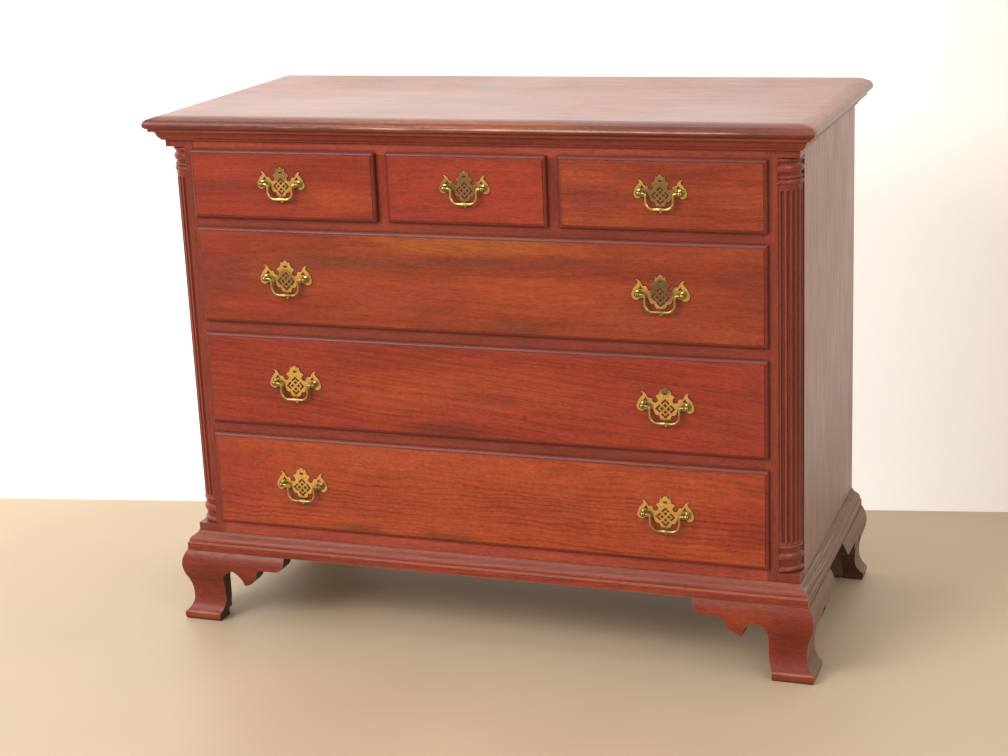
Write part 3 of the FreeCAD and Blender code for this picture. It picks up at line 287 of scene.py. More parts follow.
def grain_space(paint, along, seed):
    """The place in a board along the grain, across it and into it, in metres.  along is an axis, or
    the node of a moulding whose grain follows it round the case."""
    if along in NODES:
        change = paint.times(on_returns(paint, along), paint.minus(paint.y, paint.x))
        order = (paint.add(paint.x, change), paint.z, paint.minus(paint.y, change))
    else:
        order = {
            "x": (paint.x, paint.z, paint.y),
            "y": (paint.y, paint.z, paint.x),
            "z": (paint.z, paint.x, paint.y),
        }[along]
    return [paint.add(axis, seed * step) for axis, step in zip(order, SEED_STEPS)]


def bent(paint, place, cell, reach, detail=2.0):
    """The place with its grain pushed across the board, by up to half the reach either way."""
    u, v, w = place
    push = paint.times(paint.add(paint.noise(place, cell, detail), -0.5), reach)
    return u, paint.add(v, push), w


def stained(paint, tone, spot, stain):
    """The colour with a soft, ragged patch.  spot is the place on the face.  A stain holds its middle
    and its reach, both across and up the face, its tone and its strength."""
    middle_across, middle_up, reach_across, reach_up, patch_tone, strength = stain
    across = paint.times(paint.add(spot[0], -middle_across), 1 / reach_across)
    up = paint.times(paint.add(spot[1], -middle_up), 1 / reach_up)
    ragged = paint.noise((*spot, paint.y), RAGGED_CELL, 3.0, 0.6)
    apart = paint.add(paint.distance(across, up), paint.times(paint.add(ragged, -0.5), RAGGEDNESS))
    return paint.mix(paint.ramp(apart, 1.0, 0.25, 0.0, strength), tone, patch_tone)


# ---------------------------------------------------------------------------------------------
# Mahogany
# ---------------------------------------------------------------------------------------------
# Each noise of the wood: its cell along the grain, across it and into it, then its detail,
# roughness and distortion where they aren't the usual ones.
GRAIN = dict(
    broad=((0.42, 0.035, 0.06), 3.0, 0.55, 0.4),
    wander=((0.45, 0.05, 0.08), 2.0, 0.45, 0.3),
    streaks=((0.12, 0.0035, 0.012), 3.0, 0.6),
    speckle=((0.009, 0.0022, 0.003), 3.0, 0.75),
    pores=((0.012, 0.0009, 0.0020), 1.0, 0.4),
    cloud=((0.26, 0.09, 0.3), 2.0),
    ripple=((0.007, 0.016, 0.02), 3.0, 0.6, 1.2),
    mottle=((0.045, 0.011, 0.03), 3.0, 0.6),
)
DRIFT = 50 * MM
DRIFT_CELL = (0.60, 0.16, 0.4)
WAVE_CELL = (0.045, 0.05, 0.05)
# By how many spacings the growth lines wander, and how far from its middle a line begins and is
# darkest, in spacings too.
LINE_WANDER = 4.0
LINE_FADE = (0.32, 0.04)
SPECKLE_SHADES = (0.84, 1.14)
MOTTLE_SHARE = 0.07
RIPPLE_SHARE = 0.10
PORE_FADE = (0.60, 0.72)
PORE_SHADE = 0.74
PORE_DEPTH = 0.12 * MM
SOFT_RADIUS = 0.8 * MM
# The lip of a drawer front: where it ends, how dark it is and how much of the lacquer it keeps.
LIP_FADE = (5.2 * MM, 6.6 * MM)
LIP_SHARE = 0.6
LIP_LACQUER = 0.3
# Dust lies by how far a face looks up; dust with a painted sheen by how far it looks sideways.  There is
# less of the dust and sheen on the left of the case than on the right.
LOOKS_UP = (0.15, 0.7)
LOOKS_SIDEWAYS = (0.35, 0.75)
DUST_SHADES = (0.68, 1.12)
LEFT_DUST_AND_SHEEN = 0.3
HAZE_HALF = 0.3
CORNER_SHADE_SHARE = 0.62
FURROW_CELL = (0.25, 0.003, 0.003)
FURROW_FADE = (0.46, 0.60)
SCUFF_CELL = (0.03, 0.03, 0.03)
RUBBED_RADIUS = 1.6 * MM

MAHOGANY = dict(
    figure=0.4,  # contrast of the broad flame figure
    lines=0.12,  # darkness of the growth lines
    spacing=12 * MM,  # from one growth line to the next
    slope=0.0,  # rise of the grain along the board
    waves=0.0,  # reach of the short waves in the grain
    streak=0.08,  # contrast of the fine streaks
    fiddle=0.3,  # contrast of the ripple across the grain
    flat=False,  # whether the stains lie on the level face, and not on the front
    stains=(),
    front_stains=(),  # more of them, on the front in any case
    lip=None,  # the node of a drawer front, whose lip is darker and duller
    patch=None,  # (a function of the paint and the normal that gives a share, another tone)
    dust=(0.0, 0.3),  # share of dust and painted sheen on the faces at the right, and of dust on ledges
    side_dust=SIDE_DUST_AND_SHEEN,
    furrows=0.0,  # share of pale scratches along the returns of a moulding
    wear=0.35,  # how far the edges are rubbed
    worn=WORN,
    grime_reach=9 * MM,  # how far the painted shade reaches out of a corner
    coat=0.15,  # share of lacquer, or a function that gives it
    coat_rough=0.22,
    rough=0.4,
    specular=0.25,
)


def wood_tone(paint, look, grain, tones):
    """The colour of the board by its figure and its patches."""
    dark, middle, light = tones
    tone = paint.mix(paint.ramp(grain.broad, *NARROW), dark, light)
    tone = paint.mix(1.0 - look.figure, tone, middle)
    tone = paint.mix(paint.ramp(grain.cloud, 0.38, 0.66, 0.0, 0.5), tone, light)
    for stain in look.stains:
        tone = stained(paint, tone, (paint.x, paint.y if look.flat else paint.z), stain)
    for stain in look.front_stains:
        tone = stained(paint, tone, (paint.x, paint.z), stain)
    return tone


def wood_shade(paint, look, grain, across):
    """How light the wood is, about 1, by its streaks, speckle, growth lines and ripple."""
    shade = paint.sway(grain.streaks, look.streak)
    shade = paint.times(shade, paint.ramp(grain.speckle, *NARROW, *SPECKLE_SHADES))
    shade = paint.times(shade, paint.sway(grain.mottle, MOTTLE_SHARE, NARROW))
    # The growth lines wander over the board, and they fade where it is cloudy or light.
    rings = paint.add(paint.times(across, 1.0 / look.spacing), paint.times(grain.wander, LINE_WANDER))
    line = paint.ramp(paint.math("PINGPONG", rings, 0.5), *LINE_FADE)
    fade = paint.ramp(grain.cloud, 0.66, 0.42, 0.45, 1.0)
    fade = paint.times(fade, paint.ramp(grain.broad, 0.64, 0.40, 0.35, 1.0))
    line = paint.times(line, fade)
    shade = paint.times(shade, paint.ramp(line, 0.0, 1.0, 1.0, 1.0 - look.lines))
    return paint.times(shade, paint.sway(grain.ripple, RIPPLE_SHARE * look.fiddle))


def lip_band(paint, node):
    """1 on the lip round a drawer front, 0 on its field."""
    low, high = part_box(node)
    across = paint.lesser(paint.minus(paint.x, low.x), paint.minus(high.x, paint.x))
    up = paint.lesser(paint.minus(paint.z, low.z), paint.minus(high.z, paint.z))
    return paint.ramp(paint.lesser(across, up), *LIP_FADE, 1.0, 0.0)


def weathered(paint, look, along, place, streaks, normal, corner_shade, tone):
    """The colour with dust on ledges, dust and a painted sheen on the sides, painted shade in the
    corners and rubbed edges.
    """
    side_share, ledge_share = look.dust
    patchy = paint.ramp(streaks, *WIDE, *DUST_SHADES)
    ledges = paint.ramp(normal[2], *LOOKS_UP, 0.0, ledge_share)
    tone = paint.mix(paint.times(ledges, patchy), tone, LEDGE_DUST)
    # Painted shade in the corners.
    tone = paint.mix(paint.times(corner_shade, CORNER_SHADE_SHARE), tone, CORNER_SHADE)
    # Dust and a painted sheen on faces that look sideways and on the returns of a moulding.
    haze = paint.ramp(paint.x, -HAZE_HALF, HAZE_HALF, LEFT_DUST_AND_SHEEN * side_share, side_share)
    sideways = paint.times(paint.ramp(paint.size(normal[0]), *LOOKS_SIDEWAYS), haze)
    worn = look.worn
    moulding = along in NODES
    if moulding:
        turn = on_returns(paint, along)
        sideways = paint.greater(sideways, paint.times(turn, haze))
        worn = paint.mix(turn, worn, OLD_WORN)
    tone = paint.mix(paint.times(sideways, patchy), tone, look.side_dust)
    if moulding and look.furrows:
        combed = paint.noise(place, FURROW_CELL, 2.0, 0.6)
        scratches = paint.ramp(combed, *FURROW_FADE, 0.0, look.furrows)
        tone = paint.mix(paint.times(turn, scratches), tone, OLD_WORN)
    scuffs = paint.noise(paint.here, SCUFF_CELL, 4.0, 0.7)
    rubbed = paint.ramp(scuffs, 0.45 - 0.25 * look.wear, 0.69 - 0.25 * look.wear)
    rub = paint.times(paint.times(paint.edges(RUBBED_RADIUS), rubbed), look.wear)
    return paint.mix(rub, tone, worn)


def mahogany(name, along, tones, seed, **changes):
    """Stained mahogany.  along is the axis of the grain, or the node of a moulding whose grain follows
    it round the case.  changes are from the usual look in MAHOGANY."""
    look = SimpleNamespace(**{**MAHOGANY, **changes})
    paint = Paint(name)
    normal = paint.normal()
    u, v, w = grain_space(paint, along, seed)
    place = bent(paint, (u, paint.add(v, paint.times(u, look.slope)), w), DRIFT_CELL, DRIFT)
    if look.waves:
        place = bent(paint, place, WAVE_CELL, look.waves, 1.0)
    grain = SimpleNamespace(**{kind: paint.noise(place, *settings) for kind, settings in GRAIN.items()})
    pores = paint.ramp(grain.pores, *PORE_FADE)
    pore_shade = paint.ramp(pores, 0.0, 1.0, 1.0, PORE_SHADE)
    shade = paint.times(wood_shade(paint, look, grain, place[1]), pore_shade)
    tone = paint.shade(wood_tone(paint, look, grain, tones), shade)
    lacquer = look.coat(paint) if callable(look.coat) else look.coat
    if look.lip:
        band = lip_band(paint, look.lip)
        tone = paint.mix(paint.times(band, LIP_SHARE), tone, LIP)
        lacquer = paint.ramp(band, 0.0, 1.0, look.coat, LIP_LACQUER * look.coat)
    # Painted shade: the wood is darker in tight corners, less so on faces that look up.
    corner_shade = paint.times(paint.corners(look.grime_reach), paint.ramp(normal[2], 0.2, 0.8, 1.0, 0.35))
    tone = weathered(paint, look, along, place, grain.streaks, normal, corner_shade, tone)
    if look.patch:
        share, patch_tone = look.patch
        tone = paint.mix(share(paint, normal), tone, paint.shade(patch_tone, shade))
    polish = paint.ramp(grain.cloud, *WIDE, look.rough - 0.05, look.rough + 0.06)
    paint.relief(paint.minus(paint.times(grain.streaks, 0.35), pores), PORE_DEPTH, SOFT_RADIUS)
    return paint.set(
        Base_Color=tone,
        Roughness=paint.add(polish, paint.times(corner_shade, 0.2)),
        Coat_Weight=lacquer,
        Coat_Roughness=look.coat_rough,
        Specular_IOR_Level=look.specular,
    )


# ---------------------------------------------------------------------------------------------
# Drawer fronts
# ---------------------------------------------------------------------------------------------
def shade_round_pulls(*places):
    """The wood round each pull, centred a little below it, is painted darker: the pull's painted shadow.
    """
    return [(x, z - 10 * MM, 0.052, 0.034, UMBER, 0.30) for x, z in places]


FRONTS = {
    "top_left_drawer": dict(
        tones=RED, seed=1.3, lines=0.10,
        stains=[(-0.430, 0.756, 0.11, 0.020, PLUM, 0.45), (-0.20, 0.738, 0.10, 0.030, GLOW, 0.5)]
        + shade_round_pulls((-0.3105, 0.7615)),
    ),
    "top_middle_drawer": dict(
        tones=RED, seed=2.9, figure=0.25, lines=0.06,
        stains=[(0.075, 0.750, 0.12, 0.035, SCARLET, 0.5)] + shade_round_pulls((0.0, 0.7615)),
    ),
    "top_right_drawer": dict(
        tones=BROWNISH, seed=4.1, streak=0.12, lines=0.14,
        stains=[(0.205, 0.752, 0.10, 0.025, PLUM, 0.5), (0.42, 0.757, 0.07, 0.035, GLOW, 0.35)]
        + shade_round_pulls((0.3105, 0.7615)),
    ),
    "second_drawer": dict(
        tones=BROWNISH, seed=5.7, lines=0.10, spacing=15 * MM,
        stains=[
            (0.00, 0.672, 0.26, 0.028, GOLDEN, 0.75),
            (0.10, 0.600, 0.20, 0.050, GLOW, 0.55),
            (-0.44, 0.610, 0.11, 0.070, PLUM, 0.60),
            (0.46, 0.610, 0.10, 0.080, PLUM, 0.30),
            (-0.36, 0.563, 0.14, 0.026, SCARLET, 0.45),
            (-0.43, 0.665, 0.07, 0.030, SCARLET, 0.35),
            (-0.20, 0.636, 0.20, 0.020, UMBER, 0.50),
            (0.04, 0.645, 0.18, 0.015, UMBER, 0.45),
            (0.20, 0.650, 0.07, 0.009, UMBER, 0.25),
            (0.075, 0.546, 0.07, 0.013, UMBER, 0.60),
        ]
        + shade_round_pulls((-0.315, 0.6065), (0.308, 0.6065)),
    ),
    "third_drawer": dict(
        tones=RED, seed=7.3, figure=0.22, slope=0.09, lines=0.20, spacing=10 * MM, streak=0.12,
        fiddle=0.5,
        stains=[
            (0.04, 0.440, 0.26, 0.065, GLOW, 0.60),
            (-0.15, 0.415, 0.15, 0.050, GLOW, 0.60),
            (-0.055, 0.369, 0.09, 0.014, PLUM, 0.85),
            (0.030, 0.425, 0.12, 0.014, PLUM, 0.45),
            (0.083, 0.398, 0.007, 0.006, PLUM, 0.9),
            (0.45, 0.430, 0.12, 0.090, PLUM, 0.30),
        ]
        + shade_round_pulls((-0.312, 0.431), (0.312, 0.431)),
    ),
    "bottom_drawer": dict(
        tones=ORANGE_RED, seed=8.8, figure=0.15, lines=0.30, spacing=8.5 * MM, waves=8 * MM,
        slope=0.02, streak=0.10, fiddle=0.9,
        stains=[
            (-0.43, 0.255, 0.12, 0.080, SCARLET, 0.55),
            (0.43, 0.255, 0.08, 0.080, SCARLET, 0.45),
            (-0.46, 0.255, 0.10, 0.090, PLUM, 0.22),
            (0.47, 0.255, 0.10, 0.090, PLUM, 0.25),
            (-0.215, 0.187, 0.06, 0.012, UMBER, 0.6),
            (-0.06, 0.185, 0.08, 0.008, UMBER, 0.5),
        ]
        + shade_round_pulls((-0.3135, 0.255), (0.309, 0.255)),
    ),
}

TAIL_PITCH = 32 * MM
TAIL_LENGTH = 10 * MM
TAIL_NECK = 6.5 * MM
TAIL_FLARE = 0.26
TAIL_BLUR = 0.2 * MM
END_FACING = (0.90, 0.98)


def dovetails(node):
    """A function that gives the share of pale tails on the ends of a drawer front."""
    low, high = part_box(node)
    middle = (low.z + high.z) / 2

    def share(paint, normal):
        inward = paint.minus(high.y, paint.y)
        # Ten pitches keep the height over zero for the fold.
        from_tail = paint.math("PINGPONG", paint.add(paint.z, 10 * TAIL_PITCH - middle), TAIL_PITCH / 2)
        half_width = paint.add(paint.times(inward, TAIL_FLARE), TAIL_NECK)
        beside = paint.ramp(paint.minus(from_tail, half_width), -TAIL_BLUR, TAIL_BLUR, 1.0, 0.0)
        reached = paint.ramp(inward, TAIL_LENGTH - TAIL_BLUR, TAIL_LENGTH + TAIL_BLUR, 1.0, 0.0)
        on_end = paint.ramp(paint.size(normal[0]), *END_FACING)
        return paint.times(paint.times(beside, reached), on_end)

    return share


# ---------------------------------------------------------------------------------------------
# Poplar, the pale wood of the hidden parts
# ---------------------------------------------------------------------------------------------
POPLAR_GRAIN = dict(
    bands=((0.8, 0.026, 0.05), 3.0, 0.55, 0.3),
    fibres=((0.06, 0.0012, 0.003), 3.0, 0.6),
    cloud=((0.25, 0.2, 0.3), 4.0, 0.6),
)
POPLAR_DRIFT_CELL = (0.5, 0.12, 0.3)
FIBRE_SHADES = (0.86, 1.10)
FIBRE_DEPTH = 0.25 * MM
POPLAR_SHADE_REACH = 30 * MM


def poplar(name, along, seed, tone=POPLAR, marks=None):
    """Planed poplar, browned by age, with soft growth bands and painted shade in its corners.  marks is
    a function that adds more.
    """
    paint = Paint(name)
    place = bent(paint, grain_space(paint, along, seed), POPLAR_DRIFT_CELL, DRIFT)
    bands, fibres, cloud = [paint.noise(place, *settings) for settings in POPLAR_GRAIN.values()]
    greenish = (tone[0] * 0.78, tone[1] * 0.86, tone[2] * 0.80)
    base = paint.mix(paint.ramp(bands, 0.36, 0.66), scaled(tone, 0.78), tone)
    base = paint.mix(paint.ramp(cloud, 0.5, 0.7, 0.0, 0.5), base, greenish)
    base = paint.shade(base, paint.ramp(fibres, *WIDE, *FIBRE_SHADES))
    if marks:
        base = marks(paint, base)
    # Painted shade: darker in tight corners.
    base = paint.mix(paint.times(paint.corners(POPLAR_SHADE_REACH), 0.5), base, POPLAR_CORNER_SHADE)
    paint.relief(paint.add(fibres, paint.times(bands, 0.4)), FIBRE_DEPTH, 0.6 * MM)
    return paint.set(
        Base_Color=base,
        Roughness=paint.ramp(fibres, *WIDE, 0.62, 0.78),
        Specular_IOR_Level=0.3,
    )


BACK_BOARDS = 3
NAIL_INSET = 9 * MM
NAIL_RISE = 27 * MM
SEAM_FADE = (0.5 * MM, 1.3 * MM)
NAIL_FADE = (2.2 * MM, 3.2 * MM)
RUST_FADE = (3.0 * MM, 11.0 * MM)


def seams_and_nails(paint, base):
    """Dark joints between the back boards, and a nail near each board's corners."""
    low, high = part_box("back_boards")
    board = (high.z - low.z) / BACK_BOARDS
    to_seam = paint.math("PINGPONG", paint.minus(paint.z, low.z), board / 2)
    across = paint.add(paint.minus(high.x, paint.size(paint.x)), -NAIL_INSET)
    apart = paint.distance(across, paint.add(to_seam, -NAIL_RISE))
    seam = paint.ramp(to_seam, *SEAM_FADE, 1.0, 0.0)
    rust = paint.ramp(apart, *RUST_FADE, 0.45, 0.0)
    base = paint.mix(paint.greater(seam, rust), base, SEAM_DIRT)
    return paint.mix(paint.ramp(apart, *NAIL_FADE, 1.0, 0.0), base, NAIL_IRON)


# ---------------------------------------------------------------------------------------------
# Brass
# ---------------------------------------------------------------------------------------------
FINE_CELL = (0.004, 0.004, 0.004)
BROAD_CELL = (0.018, 0.018, 0.018)
SPOT_RAGGEDNESS = 12 * MM
BRASS_SHADE_REACH = 10 * MM
BRASS_EDGE_RADIUS = 0.9 * MM
BRASS_SOFT_RADIUS = 0.35 * MM
BRASS_GRAIN_DEPTH = 0.08 * MM


def brass(name, tarnish=0.35, spots=(), rough=0.34, tone=PLATE_BRASS):
    """Old lacquered brass, with painted shade in its corners.  Each spot is (x, z, radius, strength) of
    a browned area.
    """
    paint = Paint(name)
    fine = paint.noise(paint.here, FINE_CELL, 4.0, 0.65)
    broad = paint.noise(paint.here, BROAD_CELL, 3.0, 0.6)
    brown = paint.times(paint.ramp(broad, 0.48, 0.66), tarnish)
    for x, z, radius, strength in spots:
        apart = paint.distance(paint.add(paint.x, -x), paint.add(paint.z, -z))
        apart = paint.add(apart, paint.times(paint.add(fine, -0.5), SPOT_RAGGEDNESS))
        brown = paint.greater(brown, paint.ramp(apart, radius, radius * 0.55, 0.0, strength))
    base = paint.mix(paint.ramp(fine, 0.35, 0.65, 0.0, 0.5), tone, scaled(tone, 0.66))
    base = paint.mix(brown, base, TARNISH)
    # Painted shade: darker round the posts and bails and in other tight corners.
    base = paint.mix(paint.times(paint.corners(BRASS_SHADE_REACH), 0.85), base, BRASS_CORNER_SHADE)
    base = paint.mix(paint.times(paint.edges(BRASS_EDGE_RADIUS), 0.5), base, BRIGHT_BRASS)
    paint.relief(fine, BRASS_GRAIN_DEPTH, BRASS_SOFT_RADIUS)
    polish = paint.ramp(fine, *WIDE, rough - 0.06, rough + 0.08)
    return paint.set(
        Base_Color=base,
        Metallic=1.0,
        Roughness=paint.add(polish, paint.times(brown, 0.15)),
    )


PULLS = {
    "top_left_drawer": dict(tarnish=0.25, spots=[(-0.3105, 0.778, 0.020, 0.75)]),
    "top_middle_drawer": dict(
        tarnish=0.55, spots=[(0.0, 0.765, 0.032, 0.9), (-0.032, 0.765, 0.014, 0.7)],
    ),
    "top_right_drawer": dict(tarnish=0.6, spots=[(0.3105, 0.765, 0.030, 0.85)]),
    "second_drawer": dict(
        tarnish=0.25, spots=[(-0.315, 0.606, 0.021, 0.75), (0.310, 0.612, 0.027, 1.0)],
    ),
    "third_drawer": dict(
        tarnish=0.2, spots=[(0.312, 0.456, 0.010, 0.85), (0.312, 0.426, 0.010, 0.35)],
    ),
    "bottom_drawer": dict(tarnish=0.12, spots=[(-0.3135, 0.247, 0.010, 0.35)]),
}


# ---------------------------------------------------------------------------------------------
# What changes over the top, the sides, the columns and the feet
# ---------------------------------------------------------------------------------------------
# The painted shade low on the sides begins at the first height and is full at the second.
LOW_SHADE_HEIGHTS = (0.60, 0.16)
LOW_SHADE_SHARE = 0.42
# The painted shade in a column's hollows begins and is darkest at these depths under its shaft's face.
SHAFT_RADIUS = 30.8 * MM
HOLLOW_DEPTHS = (0.2 * MM, 1.5 * MM)
FLUTE_SHADE_SHARE = 0.55
# The feet are moulded from stock this thick.  Where a face looks outwards less than the next
# numbers say, it begins to be a sawn edge and is one.
FOOT_STOCK = 34.6 * MM
SAWN_FACING = (0.20, 0.10)


def top_polish(paint):
    """The top is glossiest in the middle, a little dull at the back and dull on its front edge."""
    front = paint.ramp(paint.y, -0.242, -0.226, 0.06, 0.52)
    rear = paint.ramp(paint.y, 0.0, 0.22, 0.52, 0.30)
    return paint.lesser(front, rear)


def column_polish(paint):
    """The left column is duller than the right one."""
    return paint.ramp(paint.x, -0.1, 0.1, 0.20, 0.50)


def shade_towards_floor(paint, normal):
    """The share of painted shade on the sides, which grows towards the floor."""
    return paint.ramp(paint.z, *LOW_SHADE_HEIGHTS, 0.0, LOW_SHADE_SHARE)


def flute_shade(paint, normal):
    """The share of painted shade in a column's flutes and quirks, with a little on its outer side."""
    low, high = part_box("quarter_column_right")
    from_axis = paint.distance(paint.add(paint.size(paint.x), -low.x), paint.add(paint.y, -high.y))
    shallow, deep = [SHAFT_RADIUS - depth for depth in HOLLOW_DEPTHS]
    hollow = paint.ramp(from_axis, shallow, deep, 0.0, FLUTE_SHADE_SHARE)
    return paint.greater(hollow, paint.ramp(paint.size(normal[0]), 0.45, 0.90, 0.0, 0.30))


def bare_foot_in_shade(paint, normal):
    """1 on the unstained wood of the feet, painted dark as in shade: behind the moulded stock and on its
    sawn edges.
    """
    node = "foot_front_right"
    behind = paint.ramp(paint.lesser(*from_case_faces(paint, node)), FOOT_STOCK, FOOT_STOCK + MM)
    sawn_side, sawn_front = [paint.ramp(paint.size(part), *SAWN_FACING) for part in normal[:2]]
    turn = on_returns(paint, node)
    straight = paint.minus(1.0, turn)
    sawn = paint.add(paint.times(straight, sawn_front), paint.times(turn, sawn_side))
    return paint.greater(behind, sawn)


# ---------------------------------------------------------------------------------------------
# Finishes of the CAD nodes
# ---------------------------------------------------------------------------------------------
def finish(material, *nodes):
    """Gives CAD nodes their finish."""
    for node in nodes:
        mesh = NODES[node].data
        mesh.materials.clear()
        mesh.materials.append(material)


SIDES_SEED = 11.0
BOTTOM_SEED = 21.0

for number, (drawer, look) in enumerate(FRONTS.items()):
    front = drawer + "_front"
    finish(
        mahogany(drawer + "_mahogany", "x", lip=front, patch=(dovetails(front), TAIL), **look),
        front,
    )
    finish(poplar(drawer + "_poplar_sides", "y", SIDES_SEED + number), drawer + "_sides_and_back")
    finish(
        poplar(drawer + "_poplar_bottom", "x", BOTTOM_SEED + number, BOTTOM_POPLAR),
        drawer + "_bottom_panel",
    )
    finish(brass(drawer + "_plate_brass", **PULLS[drawer]), drawer + "_plates")

small_bails = [node for node in NODES if node.endswith("_bail")]
long_bails = [node for node in NODES if "_bail_" in node]
finish(
    brass("post_brass", tarnish=0.8, rough=0.24, tone=POST_BRASS),
    *[drawer + "_posts" for drawer in FRONTS],
)
finish(brass("small_bail_brass", rough=0.20, tone=SMALL_BAIL_BRASS), *small_bails)
finish(brass("long_bail_brass", tarnish=0.75, rough=0.33, tone=LONG_BAIL_BRASS), *long_bails)

finish(
    mahogany(
        "top_mahogany", "x", TOP, 31.0, lines=0.20, spacing=7 * MM, streak=0.24, flat=True,
        dust=(0.6, 0.0), side_dust=TOP_END_DUST_AND_SHEEN, coat=top_polish, coat_rough=0.30, rough=0.42,
        specular=0.35,
        stains=[
            (0.0, 0.230, 0.80, 0.150, TAN, 0.60),
            (-0.05, 0.190, 0.45, 0.060, OLIVE, 0.60),
            (-0.30, 0.060, 0.35, 0.030, TAN, 0.30),
            # Painted shade: the rounded front edge of the top is darker.
            (0.0, -0.246, 1.20, 0.030, NOSE_SHADE, 0.85),
            (0.0, -0.244, 0.28, 0.022, GOLDEN, 0.45),
        ],
        # A painted highlight: a thin pale line along the widest part of the top's front edge.
        front_stains=[(0.10, 0.8542, 0.50, 0.0019, NOSE_HIGHLIGHT, 0.8)],
    ),
    "top_board",
)
finish(
    mahogany(
        "side_mahogany", "z", SIDE, 33.0, figure=0.8, lines=0.16, spacing=9 * MM, streak=0.20,
        dust=(0.75, 0.0), side_dust=PANEL_DUST_AND_SHEEN, patch=(shade_towards_floor, LOW_SHADE), coat=0.14,
        coat_rough=0.32, rough=0.45, specular=0.4,
    ),
    "side_panel_left", "side_panel_right",
)
finish(
    mahogany("rail_mahogany", "x", all_scaled(CASE, 1.48), 35.0, lines=0.08, dust=(0.4, 0.3)),
    "top_rail", "bottom_rail",
)
finish(mahogany("blade_mahogany", "x", CASE, 36.0, lines=0.08), "drawer_blades")
finish(
    mahogany("cornice_mahogany", "cornice_moulding", CASE, 36.5, lines=0.05, dust=(0.5, 0.2)),
    "cornice_moulding",
)
finish(
    mahogany(
        "base_mahogany", "base_moulding", all_scaled(CASE, 1.12), 37.0, lines=0.05, streak=0.22,
        dust=(0.90, 0.45), side_dust=OLD_DUST_AND_SHEEN, furrows=0.55, wear=1.0, worn=WORN_BASE, coat=0.05,
        rough=0.5, specular=0.2,
    ),
    "base_moulding",
)
finish(
    mahogany("upright_mahogany", "z", CASE, 38.0, lines=0.06, dust=(0.4, 0.4)),
    "corner_post_left", "corner_post_right",
)
finish(
    mahogany(
        "divider_mahogany", "z", RED, 38.3, lines=0.06,
        stains=[(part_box("top_middle_drawer_front")[1].x, 0.76, 0.05, 0.09, PLUM, 0.9)],
    ),
    "drawer_dividers",
)
finish(
    mahogany(
        "column_mahogany", "z", all_scaled(COLUMN, 1.14), 38.5, lines=0.0, dust=(0.0, 0.25),
        patch=(flute_shade, FLUTE_SHADE), wear=1.0, worn=WORN_COLUMN, grime_reach=5.5 * MM,
        coat=column_polish, coat_rough=0.05, specular=0.2,
        # A painted highlight: a thin golden line down the right column.
        stains=[(0.4985, 0.500, 0.0016, 0.22, GOLDEN, 0.7)],
    ),
    "quarter_column_left", "quarter_column_right",
)
finish(
    mahogany(
        "foot_mahogany", "foot_front_right", all_scaled(CASE, 0.88), 39.0, figure=0.2, lines=0.0,
        streak=0.05, dust=(0.85, 0.05), side_dust=OLD_DUST_AND_SHEEN, patch=(bare_foot_in_shade, BARE_IN_SHADE), wear=0.9,
        coat=0.12, coat_rough=0.28, specular=0.18,
        stains=[
            (0.430, 0.080, 0.080, 0.060, GLOW, 0.45),
            (0.500, 0.062, 0.055, 0.055, MAROON, 0.45),
            (-0.480, 0.075, 0.075, 0.065, MAROON, 0.40),
            (0.507, 0.004, 0.060, 0.014, TOE, 0.75),
            (-0.507, 0.004, 0.060, 0.014, TOE, 0.90),
            (0.512, 0.0135, 0.060, 0.0024, ARRIS, 0.50),
            (-0.512, 0.0135, 0.060, 0.0024, ARRIS, 0.50),
        ],
    ),
    "foot_front_left", "foot_front_right", "foot_rear_left", "foot_rear_right",
)
finish(poplar("back_poplar", "x", 41.0, BACK_POPLAR, marks=seams_and_nails), "back_boards")
finish(poplar("inner_poplar", "y", 43.0, INNER_POPLAR), "bottom_board", "drawer_runners")
# The glue blocks are painted much darker than the other poplar, as in shade.
finish(poplar("block_poplar_shaded", "z", 45.0, SHADED_BLOCK_POPLAR), "foot_glue_blocks")


# ---------------------------------------------------------------------------------------------
# Stage and light
# ---------------------------------------------------------------------------------------------
FLOOR_HALF = 6.0
FLOOR_TONES = ((0.51, 0.395, 0.270), (0.56, 0.440, 0.300))
WALL_HALF = 4.5
WALL_HEIGHT = 3.2
WALL_BEHIND = 0.451
WALL_SLANT = 0.189
# The wall is white on the left and warmer and duller from here to the right.
WARM_FROM, WARM_TO = 0.0, 1.1
WALL_TONES = ((0.82, 0.81, 0.79), (0.55, 0.49, 0.44))
WALL_GLOWS = ((1.0, 0.98, 0.95), (0.44, 0.38, 0.33))
WALL_GLOW = 0.72
SKY_TONE = (1.0, 0.985, 0.965)
SKY_STRENGTH = 0.56
LAMP_TONE = (1.0, 0.97, 0.93)
CHEST_MIDDLE = Vector((0.0, 0.0, 0.45))


def stage_sheet(name, corners, material):
    """A flat sheet of the stage through its corners."""
    mesh = bpy.data.meshes.new(name)
    drawing = bmesh.new()
    drawing.faces.new([drawing.verts.new(corner) for corner in corners])
    drawing.to_mesh(mesh)
    drawing.free()
    mesh.materials.append(material)
    sheet = bpy.data.objects.new(name, mesh)
    bpy.context.scene.collection.objects.link(sheet)


def floor_material():
    """A pale floor with a broad, faint mottle."""
    paint = Paint("stage_floor_pale")
    mottle = paint.noise(paint.here, (0.6, 0.6, 1.0), 2.0)
    return paint.set(Base_Color=paint.mix(paint.ramp(mottle, *WIDE), *FLOOR_TONES), Roughness=0.5)


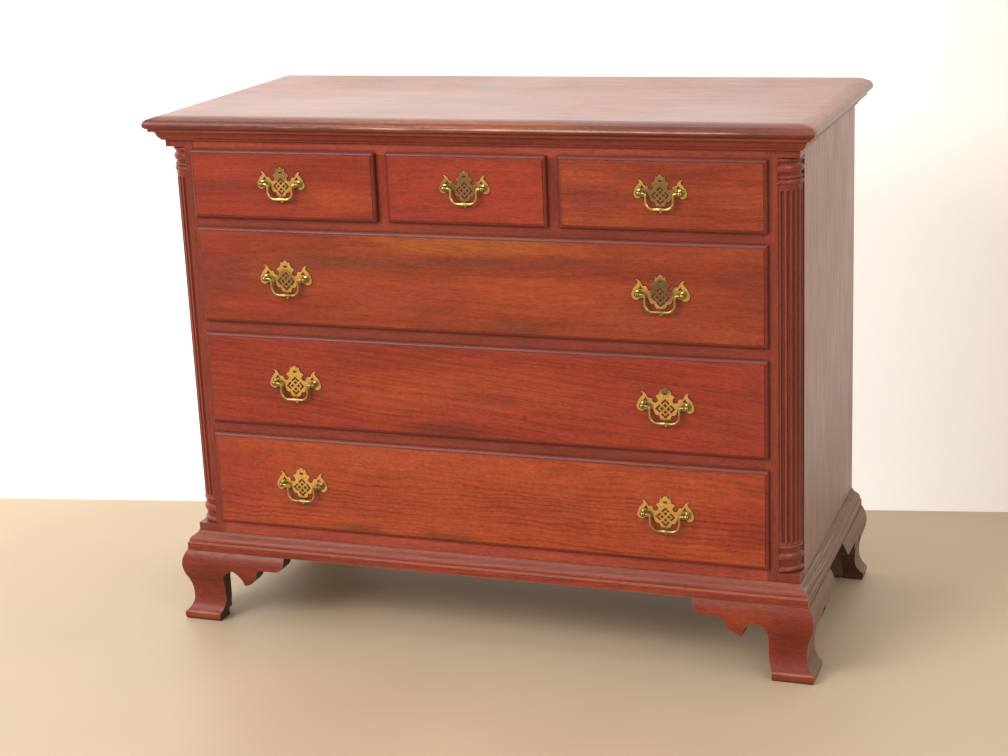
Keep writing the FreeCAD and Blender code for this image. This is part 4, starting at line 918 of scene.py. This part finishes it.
def wall_material():
    """A white wall that glows a little, and that is clear when seen from behind."""
    paint = Paint("stage_wall_white")
    warmth = paint.ramp(paint.x, WARM_FROM, WARM_TO)
    paint.set(
        Base_Color=paint.mix(warmth, *WALL_TONES),
        Emission_Color=paint.mix(warmth, *WALL_GLOWS),
        Emission_Strength=WALL_GLOW,
        Roughness=0.8,
    )
    one_sided = paint.make("MixShader")
    paint.feed(one_sided.inputs[0], paint.make("NewGeometry").outputs["Backfacing"])
    paint.feed(one_sided.inputs[1], paint.shader.outputs[0])
    paint.feed(one_sided.inputs[2], paint.make("BsdfTransparent").outputs[0])
    paint.feed(paint.tree.nodes["Material Output"].inputs["Surface"], one_sided.outputs[0])
    return paint.material


def softbox(name, place, width, height, power):
    """A large soft area light that looks at the middle of the chest."""
    lamp = bpy.data.lights.new(name, "AREA")
    lamp.shape = "RECTANGLE"
    lamp.size = width
    lamp.size_y = height
    lamp.energy = power
    lamp.color = LAMP_TONE
    stand = bpy.data.objects.new(name, lamp)
    bpy.context.scene.collection.objects.link(stand)
    stand.location = place
    stand.rotation_euler = (CHEST_MIDDLE - Vector(place)).to_track_quat("-Z", "Y").to_euler()


def wall_line(x):
    """How far back the wall stands at x; it runs a little askew behind the chest."""
    return WALL_BEHIND + WALL_SLANT * x


stage_sheet(
    "stage_floor",
    [(x * FLOOR_HALF, y * FLOOR_HALF, 0) for x, y in ((-1, -1), (1, -1), (1, 1), (-1, 1))],
    floor_material(),
)
wall_feet = [(x, wall_line(x), 0) for x in (-WALL_HALF, WALL_HALF)]
wall_heads = [(x, wall_line(x), WALL_HEIGHT) for x in (WALL_HALF, -WALL_HALF)]
stage_sheet("stage_wall", wall_feet + wall_heads, wall_material())

world = bpy.data.worlds.new("studio")
bpy.context.scene.world = world
world.use_nodes = True
sky = world.node_tree.nodes["Background"]
sky.inputs["Color"].default_value = colour(SKY_TONE)
sky.inputs["Strength"].default_value = SKY_STRENGTH

softbox("light_front_left", (-2.6, -3.8, 3.4), 2.9, 2.4, 201)
softbox("light_front_right", (2.6, -2.2, 2.2), 1.8, 1.8, 30)
softbox("light_above", (0.2, -0.3, 3.1), 2.6, 1.6, 14)

# ---------------------------------------------------------------------------------------------
# Camera, as the photograph was taken
# ---------------------------------------------------------------------------------------------
CAMERA_PLACE = (1.0744, -3.0047, 1.3127)
FOCAL_LENGTH = 69.98
SENSOR_WIDTH = 36
YAW, PITCH, ROLL = (math.radians(angle) for angle in (20.264, 16.087, -2.475))

back = Vector((math.sin(YAW) * math.cos(PITCH), -math.cos(YAW) * math.cos(PITCH), math.sin(PITCH)))
level = Vector((math.cos(YAW), math.sin(YAW), 0))
right = math.cos(ROLL) * level + math.sin(ROLL) * back.cross(level)
lens = bpy.data.cameras.new("camera")
lens.lens = FOCAL_LENGTH
lens.sensor_width = SENSOR_WIDTH
camera = bpy.data.objects.new("camera", lens)
bpy.context.scene.collection.objects.link(camera)
facing = Matrix((right, back.cross(right), back)).transposed().to_4x4()
camera.matrix_world = Matrix.Translation(CAMERA_PLACE) @ facing
bpy.context.scene.camera = camera
bpy.context.scene.view_settings.view_transform = "Standard"
